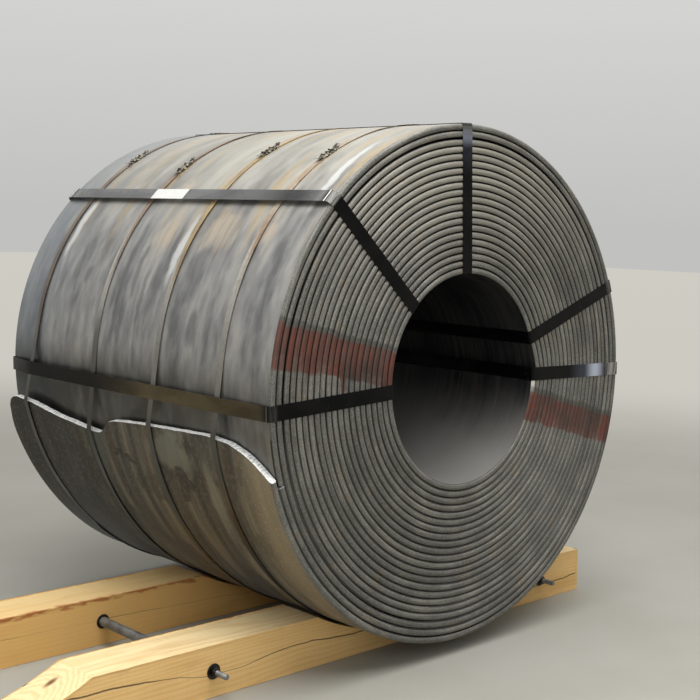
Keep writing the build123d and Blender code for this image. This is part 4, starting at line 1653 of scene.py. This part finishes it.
@dataclass
class EyeStrapping:
    """Wide black straps through the bore, each a tight loop with folded corners."""

    gauge: CoilGauge
    girth: GirthStrapping
    girth_count: int = 4
    width: float = 0.0508
    thickness: float = 0.0011
    gap: float = 0.0003
    corner: float = 0.004
    corner_per_standoff: float = 1.2
    inner_fold: float = 0.009
    longest: float = 0.05
    places: tuple[EyeStrapPlace, ...] = (
        EyeStrapPlace("two_oclock", 20.5, 0.003),
        EyeStrapPlace("three_oclock", -1.0, 0.003, fold_wear_and_highlight=1.0, sheen=(0.085, 0.24, 1.0)),
        EyeStrapPlace("nine_oclock", 183.3, 0.006, "6B6047", fold_wear_and_highlight=0.1, dust_and_reflection=(
            (0.0, 0.20), (0.05, 0.38), (0.2, 0.40), (0.35, 0.50), (0.5, 0.60), (0.65, 0.62),
            (0.73, 0.45), (0.8, 0.25), (0.9, 0.10), (1.0, 0.02), (1.63, 0.0))),
        EyeStrapPlace("ten_oclock", 137.0, 0.016, "7C7C7C", patch=(0.812, 1.02), fold_wear_and_highlight=1.0, dust_and_reflection=(
            (0.0, 0.40), (0.05, 0.66), (0.1, 0.44), (0.15, 0.18), (0.22, 0.16), (0.35, 0.36),
            (0.5, 0.48), (0.75, 0.58), (1.63, 0.60))),
        EyeStrapPlace("twelve_oclock", 92.5, 0.002, sheen=(0.01, 0.1, 0.33), seal_on_run=True),
    )
    seal_length: float = 0.076
    seal_overhang: float = 0.003
    seal_levels: Triple = (-0.0006, 0.0012, 0.0022)
    notch_reach: float = 0.15
    notch_cut: float = 0.007
    notch_lift: float = 0.0035

    def girth_rise(self, angle: float, setback: float, width: float) -> float:
        """Radius of a girth strap's outside under a flat strap.

        Args:
            angle: the flat strap's angle.
            setback: place of the girth strap's middle behind the front face.
            width: the girth strap's width.

        Returns:
            The radius, as far out as the flat strap has to clear it.
        """
        angles, radii = self.girth.route(setback, width)
        spread = math.degrees(self.width / 2 / self.gauge.tip_radius)
        near = [r * math.cos(math.radians(a - angle)) for a, r in zip(angles, radii)
                if abs((a - angle + 180) % 360 - 180) < spread + 1]
        return max(near) + self.thickness / 2

    def taut_run(self, place: EyeStrapPlace) -> list[Pair]:
        """Radii and setbacks of the outer run, pulled straight over the girth straps.

        Args:
            place: the strap's place.

        Returns:
            The run's points from the front rim to the rear rim.
        """
        front = self.gauge.front_y
        rim = float(self.gauge.outside(np.array(place.angle))) + place.standoff
        points = [(rim, -self.gap)]
        for number in range(1, self.girth_count + 1):
            low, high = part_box(f"girth_strap_{number}")
            rise = self.girth_rise(place.angle, (low.y + high.y) / 2 - front, high.y - low.y) + self.gap
            points += [(rise, low.y - front), (rise, high.y - front)]
        points.append((rim, self.gauge.width + self.gap))
        run: list[Pair] = []
        for point in points:
            while len(run) > 1 and self.sags(run[-2], run[-1], point):
                run.pop()
            run.append(point)
        return run

    @staticmethod
    def sags(first: Pair, middle: Pair, last: Pair) -> bool:
        """True where the middle point lies under the straight line of its neighbours."""
        share = (middle[1] - first[1]) / (last[1] - first[1])
        return middle[0] <= first[0] + share * (last[0] - first[0])

    def outer_fold(self, place: EyeStrapPlace) -> float:
        """Radius of the strap's outer folds, wider where it stands off the coil."""
        return self.corner + self.corner_per_standoff * place.standoff + self.thickness / 2

    def loop(self, place: EyeStrapPlace) -> Array:
        """Middle line of the strap's loop in the plane of its angle.

        Args:
            place: the strap's place.

        Returns:
            Pairs of radius and setback, closed, with its four folds rounded.
        """
        rise = self.thickness / 2
        run = [(radius + rise, setback) for radius, setback in self.taut_run(place)]
        front, rear = -self.gap - rise, self.gauge.width + self.gap + rise
        low = math.sqrt((self.gauge.bore - self.gap) ** 2 - (self.width / 2) ** 2) - rise
        fold = self.outer_fold(place)
        corners = [((run[0][0], front), fold), *((point, 0.0) for point in run[1:-1]),
                   ((run[-1][0], rear), fold), ((low, rear), self.inner_fold),
                   ((low, front), self.inner_fold)]
        line = []
        for number, (spot, fold) in enumerate(corners):
            here = np.array(spot)
            if not fold:
                line.append(here)
                continue
            before = np.array(corners[number - 1][0]) - here
            after = np.array(corners[(number + 1) % len(corners)][0]) - here
            before, after = before / np.linalg.norm(before), after / np.linalg.norm(after)
            half_turn = math.acos(float(np.clip(before @ after, -1, 1))) / 2
            reach = fold / math.tan(half_turn)
            middle = (before + after) / np.linalg.norm(before + after) * fold / math.sin(half_turn)
            for share in np.linspace(0, 1, 8):
                arm = (before * (1 - share) + after * share) * reach - middle
                line.append(here + middle + arm / np.linalg.norm(arm) * fold)
        return self.filled(np.array(line))

    def filled(self, line: Array) -> Array:
        """Adds points on the long straight stretches of a closed line.

        Args:
            line: the line's points.

        Returns:
            The points with the new ones between them.
        """
        spots = []
        for first, last in zip(line, np.roll(line, -1, axis=0)):
            count = max(1, math.ceil(np.linalg.norm(last - first) / self.longest))
            spots += [first + (last - first) * k / count for k in range(count)]
        return np.array(spots)

    def strap(self, place: EyeStrapPlace) -> Piece:
        """Builds one strap's loop.

        Args:
            place: the strap's place.

        Returns:
            The finished piece.
        """
        finish = BlackEnamel(f"black_strapping_{place.name}", place, self.gauge.front_y).build()
        line = self.loop(place)
        turn = math.radians(place.angle)
        out, side = spoke(turn), spoke(turn + math.pi / 2)
        hub = self.gauge.hub(self.gauge.front_y)
        centres = np.array([hub + out * r + ALONG_AXIS * s for r, s in line])
        ahead = np.roll(centres, -1, axis=0) - np.roll(centres, 1, axis=0)
        ahead /= np.linalg.norm(ahead, axis=1)[:, None]
        thin = self.thickness / 2
        section = ribbon(self.width / 2, thin, 0.99, [(0.0, thin * 1.25)])
        count = len(centres)
        shell = swept(centres, [side] * count, np.cross(ahead, side), [section] * count, True)
        item = piece(f"eye_strapping_{place.name}", *shell)
        past = self.past_fold(line, self.outer_fold(place))
        # Dust and painted reflection, on the outer run only.
        dust_and_reflection = np.interp(line[:, 1], *zip(*place.dust_and_reflection)) * (past < 0)
        note(item, "past_fold", np.repeat(past, len(section)))
        note(item, "dust_and_reflection", np.repeat(dust_and_reflection, len(section)))
        return settle(item, Slot.EYE_STRAP, f"eye_strap_{place.name}", finish)

    def past_fold(self, line: Array, fold: float) -> Array:
        """Distance along the strap past the nearest start of an outer fold, negative on the outer run.

        Args:
            line: radii and setbacks of the strap's loop.
            fold: reach of an outer fold.

        Returns:
            The distances at the loop's points.
        """
        steps = np.linalg.norm(np.roll(line, -1, axis=0) - line, axis=1)
        along = np.concatenate([[0.0], np.cumsum(steps)[:-1]])
        outer = line[:, 0] > (self.gauge.bore + self.gauge.tip_radius) / 2
        clear = (line[:, 1] > 0.8 * fold) & (line[:, 1] < self.gauge.width - 0.8 * fold)
        on_run = np.flatnonzero(outer & clear)
        first, last = along[on_run[0]], along[on_run[-1]]
        before, after = (first - along) % steps.sum(), (along - last) % steps.sum()
        inside = (along >= first) & (along <= last)
        return np.where(inside, -np.minimum(along - first, last - along), np.minimum(before, after))

    def seal(self, place: EyeStrapPlace, finish: Material) -> Piece:
        """Builds the notched seal of one strap, on the top run or on the rear end.

        Args:
            place: the strap's place.
            finish: its material.

        Returns:
            The finished piece.
        """
        low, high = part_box(f"eye_seal_{place.name}")
        centre, turn = np.array((low + high) / 2), math.radians(place.angle)
        out, side = spoke(turn), spoke(turn + math.pi / 2)
        along, deep = (ALONG_AXIS, out) if place.seal_on_run else (out, ALONG_AXIS)
        centres, sections = [], []
        for s in np.linspace(-self.seal_length / 2, self.seal_length / 2, 49):
            bite, _ = notch(s, self.seal_length, self.notch_reach)
            half = self.width / 2 + self.seal_overhang - self.notch_cut * bite
            foot, edge, crown = self.seal_levels
            top = edge + self.notch_lift * bite
            sections.append([(-half, foot), (-half, top), (-half * 0.8, crown),
                             (half * 0.8, crown), (half, top), (half, foot)])
            centres.append(centre + along * s)
        count = len(centres)
        item = piece(f"eye_crimp_{place.name}", *swept(centres, [side] * count, [deep] * count, sections))
        return settle(item, Slot.EYE_SEAL, f"eye_seal_{place.name}", finish)


@dataclass
class TimberCradle:
    """Two squared timbers, each with a round scoop for each coil."""

    gauge: CoilGauge
    scoop_floor: float = 0.053
    scoop_radius: float = 1.061995
    corner_round: float = 0.004
    chip: float = 0.0035
    chip_lengths: Pair = (0.06, 0.017)
    chip_above_below: Pair = (1.6, 0.5)
    saw_waver: float = 0.0005
    saw_wave: float = 0.09
    station_gap: float = 0.018
    sharp_angle: float = math.radians(24)
    looks: tuple[TimberLook, ...] = (
        TimberLook("front", 1.0, 0.0, "F8E0AE", (0.0009, 0.0026), (
            (-1.95, 0.100), (-0.458, 0.118), (-0.17, 0.099), (0.075, 0.072), (0.28, 0.093),
            (0.40, 0.096), (0.509, 0.085), (0.672, 0.079), (1.2, 0.060), (1.95, 0.070))),
        TimberLook("rear", 14.0, 0.85, "E4C68E", (0.0001, 0.0009), (
            (-1.95, 0.085), (-0.3, 0.095), (0.4, 0.080), (1.2, 0.045), (1.95, 0.060))),
    )

    def top(self, x: float, height: float) -> float:
        """Height of the timber's top.

        Args:
            x: the place along the timber.
            height: its sawn height.

        Returns:
            The height there, lower in a scoop.
        """
        level = height
        for side in (-1, 1):
            away = x - side * self.gauge.centre_x
            if abs(away) < self.scoop_radius:
                arc = self.scoop_floor + self.scoop_radius - math.sqrt(self.scoop_radius ** 2 - away ** 2)
                level = min(level, arc)
        return level

    def stations(self, length: float, height: float) -> Array:
        """Places along the timber, with one at each scoop's corner.

        Args:
            length: the timber's length.
            height: its sawn height.

        Returns:
            The places in order.
        """
        reach = self.scoop_floor + self.scoop_radius - height
        half = math.sqrt(self.scoop_radius ** 2 - reach ** 2)
        corners = [side * self.gauge.centre_x + way * half for side in (-1, 1) for way in (-1, 1)]
        marks = sorted([-length / 2, length / 2] + corners)
        spots = []
        for first, last in zip(marks, marks[1:]):
            count = max(2, round((last - first) / self.station_gap))
            spots += [first + (last - first) * k / count for k in range(count)]
        return np.array(spots + [length / 2])

    def build(self, look: TimberLook) -> Piece:
        """Builds one timber with rounded, chipped corners and uneven sawn faces.

        Args:
            look: what sets it apart.

        Returns:
            The finished piece.
        """
        low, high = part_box(f"timber_{look.name}")
        spots = self.stations(high.x - low.x, high.z)
        rings = [self.ring(x, low.y, high.y, self.top(x, high.z), look.seed) for x in spots]
        points = np.array([(x, y, z) for x, ring in zip(spots, rings) for y, z in ring])
        faces = tube(len(spots), len(rings[0]), False)
        item = piece(f"sawn_timber_{look.name}", points, faces, sharp=self.sharp_angle)
        finish = SawnPine(f"sawn_pine_{look.name}", look, low.y, high.y, high.z).build()
        return settle(item, Slot.TIMBER, f"timber_{look.name}", finish)

    def ring(self, x: float, front: float, rear: float, top: float, seed: float) -> list[Pair]:
        """Section of the timber at a place along it, kept inside its sawn size.

        Args:
            x: the place along the timber.
            front: the front face's place.
            rear: the rear face's place.
            top: the height of the top there.
            seed: start of the noise.

        Returns:
            Points of the section.
        """
        ring = []
        corners = [(front, 0.0, 1, 1), (front, top, 1, -1), (rear, top, -1, -1), (rear, 0.0, -1, 1)]
        for number, (y, z, in_y, in_z) in enumerate(corners):
            start = seed + 5 * number
            (long, short), (above, below) = self.chip_lengths, self.chip_above_below
            chip = max(0.0, wander(x, long, start) - 0.15) + 0.6 * max(0.0, wander(x, short, start + 2))
            cut = self.corner_round * 0.6 + self.chip * chip * (above if z > 0 else below)
            swing = [(cut, 0.0), (0.3 * cut, 0.3 * cut), (0.0, cut)]
            if in_y * in_z > 0:
                swing = [(b, a) for a, b in swing][::-1]
            if in_y == in_z:
                swing = swing[::-1]
            ring += [(y + in_y * a, z + in_z * b) for a, b in swing]
            after = corners[(number + 1) % 4]
            for share in (0.2, 0.4, 0.6, 0.8):
                flat_y, flat_z = y + (after[0] - y) * share, z + (after[1] - z) * share
                rough = self.saw_waver * (1 + wander(x + share, self.saw_wave, seed + number))
                if after[0] == y:
                    flat_y += in_y * rough
                elif z > 0:
                    flat_z -= rough
                ring.append((flat_y, flat_z))
        return ring


@dataclass
class TieRods:
    """Threaded rods with spacer pipes, washers and nuts through both timbers."""

    rod_radius: float = 0.0095
    bore_gap: float = 0.0003
    chamfer: float = 0.0015
    centre_hole: float = 0.0005
    washer: float = 0.004
    washer_round: float = 0.0008
    nut: float = 0.0163
    nut_flats: float = 0.0286
    nut_face: float = 0.97
    nut_round: float = 0.0022
    washer_radius: float = 0.0254
    pipe_wall: float = 0.0034
    pipe_round: float = 0.0006
    thread_pitch: float = 0.004
    thread_depth: float = 0.0009
    threaded: float = 0.09
    sides: int = 24

    def build(self, name: str, zinc: Material, dull_zinc: Material, black: Material) -> None:
        """Builds one rod with what it carries.

        Args:
            name: left, middle or right.
            zinc: the rod's material.
            dull_zinc: the pipe's.
            black: that of the washers and nuts.
        """
        low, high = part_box(f"tie_rod_{name}")
        centre = ((low.x + high.x) / 2, (low.z + high.z) / 2)
        rod = turned(centre, self.rod_profile(low.y, high.y), self.sides)
        settle(piece(f"threaded_rod_{name}", *rod), Slot.ROD, f"tie_rod_{name}", zinc)
        low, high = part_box(f"spacer_pipe_{name}")
        outside = (high.x - low.x) / 2
        profile = self.ring_profile(outside - self.pipe_wall, outside - self.pipe_round, outside,
                                    low.y, high.y, self.pipe_round)
        pipe = turned(centre, profile, self.sides)
        settle(piece(f"galvanised_spacer_{name}", *pipe), Slot.PIPE, f"spacer_pipe_{name}", dull_zinc)
        bore, faces = self.rod_radius + self.bore_gap, self.timber_faces()
        shells = []
        for face, side in faces:
            start = min(face, face + side * self.washer)
            profile = self.ring_profile(bore, self.washer_radius - self.washer_round, self.washer_radius,
                                        start, start + self.washer, self.washer_round)
            shells.append(turned(centre, profile, 2 * self.sides))
        settle(piece(f"black_washers_{name}", *merged(shells)), Slot.WASHER, f"washers_{name}", black)
        shells, flat = [], self.nut_flats / 2
        for face, side in (faces[0], faces[-1]):
            start = face - self.washer - self.nut if side < 0 else face + self.washer
            profile = self.ring_profile(bore, flat * self.nut_face, flat / math.cos(math.pi / 6),
                                        start, start + self.nut, self.nut_round)
            shells.append(turned(centre, profile, 2 * self.sides, self.hexagon))
        settle(piece(f"black_nuts_{name}", *merged(shells)), Slot.NUT, f"nuts_{name}", black)

    def rod_profile(self, start: float, end: float) -> list[Pair]:
        """Profile of a rod, plain in its middle and threaded at both ends.

        Args:
            start: the place of its front end.
            end: the place of its rear end.

        Returns:
            Pairs of radius and place along the rod.
        """
        middle, half_length = (start + end) / 2, (end - start) / 2
        profile = [(self.centre_hole, -half_length), (self.rod_radius - self.chamfer, -half_length)]
        steps = int(self.threaded / (self.thread_pitch / 2))
        for way in (-1, 1):
            ridge = [(self.rod_radius - (self.thread_depth if k % 2 else 0.0),
                      way * (half_length - k * self.thread_pitch / 2)) for k in range(1, steps)]
            profile += ridge if way < 0 else ridge[::-1]
        profile += [(self.rod_radius - self.chamfer, half_length), (self.centre_hole, half_length)]
        return [(radius, middle + along) for radius, along in profile]

    @staticmethod
    def ring_profile(bore: float, face: float, radius: float, start: float, end: float,
                     cut: float) -> list[Pair]:
        """Profile of a ring, cut back along its length at both ends to the radius of its faces."""
        return [(bore, start), (face, start), (radius, start + cut), (radius, end - cut), (face, end),
                (bore, end)]

    def hexagon(self, angle: float) -> float:
        """Greatest radius of a nut at an angle."""
        sector = math.pi / 3
        return self.nut_flats / 2 / math.cos((angle + sector / 2) % sector - sector / 2)

    @staticmethod
    def timber_faces() -> list[tuple[float, int]]:
        """Places of the timbers' faces along Y, with the side that each looks to."""
        boxes = [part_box(name) for name in ("timber_front", "timber_rear")]
        return [face for low, high in boxes for face in ((low.y, -1), (high.y, 1))]


@dataclass
class Studio:
    """Pale floor, soft lamps, and the camera where the photograph was taken.

    Each lamp has a place, a target, a size and a power.
    """

    gauge: CoilGauge
    focal_pixels: float = 1264.89
    centre_pixels: Pair = (387.02, 204.44)
    image_pixels: float = 700.0
    sensor: float = 36.0
    yaw: float = 44.645
    pitch: float = 0.817
    roll: float = 1.786
    camera_from_coil: Triple = (-3.4681, -3.0674, 0.5599)
    floor_reach: float = 40.0
    floor_drop: float = 0.0002
    horizon: float = 0.6
    zenith: float = 1.0
    diffuse_share: float = 0.42
    lamps: tuple[tuple[Triple, Triple, float, float], ...] = (
        ((0.2, -1.4, 5.6), (0.9, -0.4, 0.9), 6.0, 475.0),
        ((-3.5, -5.5, 3.2), (0.6, -0.6, 0.7), 3.0, 75.0),
    )

    def build(self) -> None:
        """Makes floor, world, lamps and camera."""
        self.floor()
        self.world()
        for number, (place, target, size, power) in enumerate(self.lamps):
            self.lamp(f"soft_lamp_{number}", Vector(place), Vector(target), size, power)
        self.camera()

    def floor(self) -> None:
        """Makes the pale floor."""
        reach = self.floor_reach
        points = [(x, y, -self.floor_drop)
                  for x, y in ((-reach, -reach), (reach, -reach), (reach, reach), (-reach, reach))]
        item = piece("pale_floor", np.array(points), [[0, 1, 2, 3]])
        item.data.materials.append(Concrete().build())

    def world(self) -> None:
        """Makes a pale room, brighter overhead, which camera and gloss see in full."""
        world = bpy.data.worlds.new("pale_room")
        bpy.context.scene.world = world
        world.use_nodes = True
        tree = world.node_tree
        tree.nodes.clear()
        rays = add(tree, "ShaderNodeLightPath").outputs
        seen = add(tree, Kind.MAXIMUM, rays["Is Camera Ray"], rays["Is Glossy Ray"])
        seen = add(tree, Kind.EVEN_SPAN, seen, None, None, self.diffuse_share)
        upward = add(tree, Kind.SEPARATE, add(tree, "ShaderNodeTexCoord").outputs["Generated"]).outputs[2]
        level = add(tree, Kind.EVEN_SPAN, upward, None, 0.5, self.horizon, self.zenith)
        sky = add(tree, "ShaderNodeBackground", "F2F2F0", add(tree, Kind.MULTIPLY, seen, level))
        add(tree, "ShaderNodeOutputWorld", sky)

    @staticmethod
    def lamp(name: str, place: Vector, target: Vector, size: float, power: float) -> None:
        """Makes one square soft lamp.

        Args:
            name: the lamp's name.
            place: where it hangs.
            target: what it looks at.
            size: its side.
            power: its power in watts.
        """
        data = bpy.data.lights.new(name, "AREA")
        data.size = size
        data.energy = power
        item = place_object(name, data)
        turn = (target - place).to_track_quat("-Z", "Y").to_matrix().to_4x4()
        item.matrix_world = Matrix.Translation(place) @ turn

    def camera(self) -> None:
        """Makes the camera, with the lens and frame shift that the photograph has."""
        yaw, pitch, roll = (math.radians(angle) for angle in (self.yaw, self.pitch, self.roll))
        level_reach = math.cos(pitch)
        forward = Vector((math.sin(yaw) * level_reach, math.cos(yaw) * level_reach, math.sin(pitch)))
        level = Vector((math.cos(yaw), -math.sin(yaw), 0.0))
        upright = level.cross(forward)
        right = level * math.cos(roll) + upright * math.sin(roll)
        up = upright * math.cos(roll) - level * math.sin(roll)
        turn = Matrix((right, up, -forward)).transposed().to_4x4()
        data = bpy.data.cameras.new("photo_camera")
        data.sensor_width = self.sensor
        data.lens = self.focal_pixels * self.sensor / self.image_pixels
        data.shift_x = 0.5 - self.centre_pixels[0] / self.image_pixels
        data.shift_y = self.centre_pixels[1] / self.image_pixels - 0.5
        item = place_object("photo_camera", data)
        front = Vector(self.gauge.hub(self.gauge.front_y))
        item.matrix_world = Matrix.Translation(front + Vector(self.camera_from_coil)) @ turn
        bpy.context.scene.camera = item


def read_gauge(record: dict) -> CoilGauge:
    """Reads the coil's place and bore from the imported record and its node.

    Args:
        record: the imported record.

    Returns:
        The gauge.
    """
    bore = next(mount for mount in record["mounts"] if mount["name"] == "coil_bore")
    low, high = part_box("coil")
    return CoilGauge(centre_x=bore["pos_m"][0], axis_z=bore["pos_m"][2], front_y=low.y, rear_y=high.y,
                     bore=bore["dims"]["r_mm"] * MM)


def main() -> None:
    """Builds every piece in order, dresses it and places the camera."""
    logging.basicConfig(level=logging.INFO, format="%(message)s")
    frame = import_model()
    bpy.context.scene.view_settings.view_transform = "Standard"
    gauge = read_gauge(frame["record"])
    Studio(gauge).build()

    skin, bore, edge = MillScale().build(), BoreScale(gauge=gauge).build(), MillEdge(gauge=gauge).build()
    torn, crimp = TORN_STEEL.build(), CRIMPED_SEAL.build()
    WoundTurns(gauge).build(edge, bore, torn)
    OuterTurn(gauge).build(edge, skin, torn)
    girth = GirthStrapping(gauge)
    for number, steel in enumerate(girth.skins, 1):
        girth.strap(number, steel.build())
        girth.seal(number, crimp)
    eyes = EyeStrapping(gauge, girth)
    for place in eyes.places:
        eyes.strap(place)
        eyes.seal(place, crimp)
    cradle = TimberCradle(gauge)
    for look in cradle.looks:
        cradle.build(look)
    rods, metals = TieRods(), [metal.build() for metal in (BRIGHT_ZINC, DULL_ZINC, BLACKENED)]
    for name in ("left", "middle", "right"):
        rods.build(name, *metals)


if __name__ == "__main__":
    main()
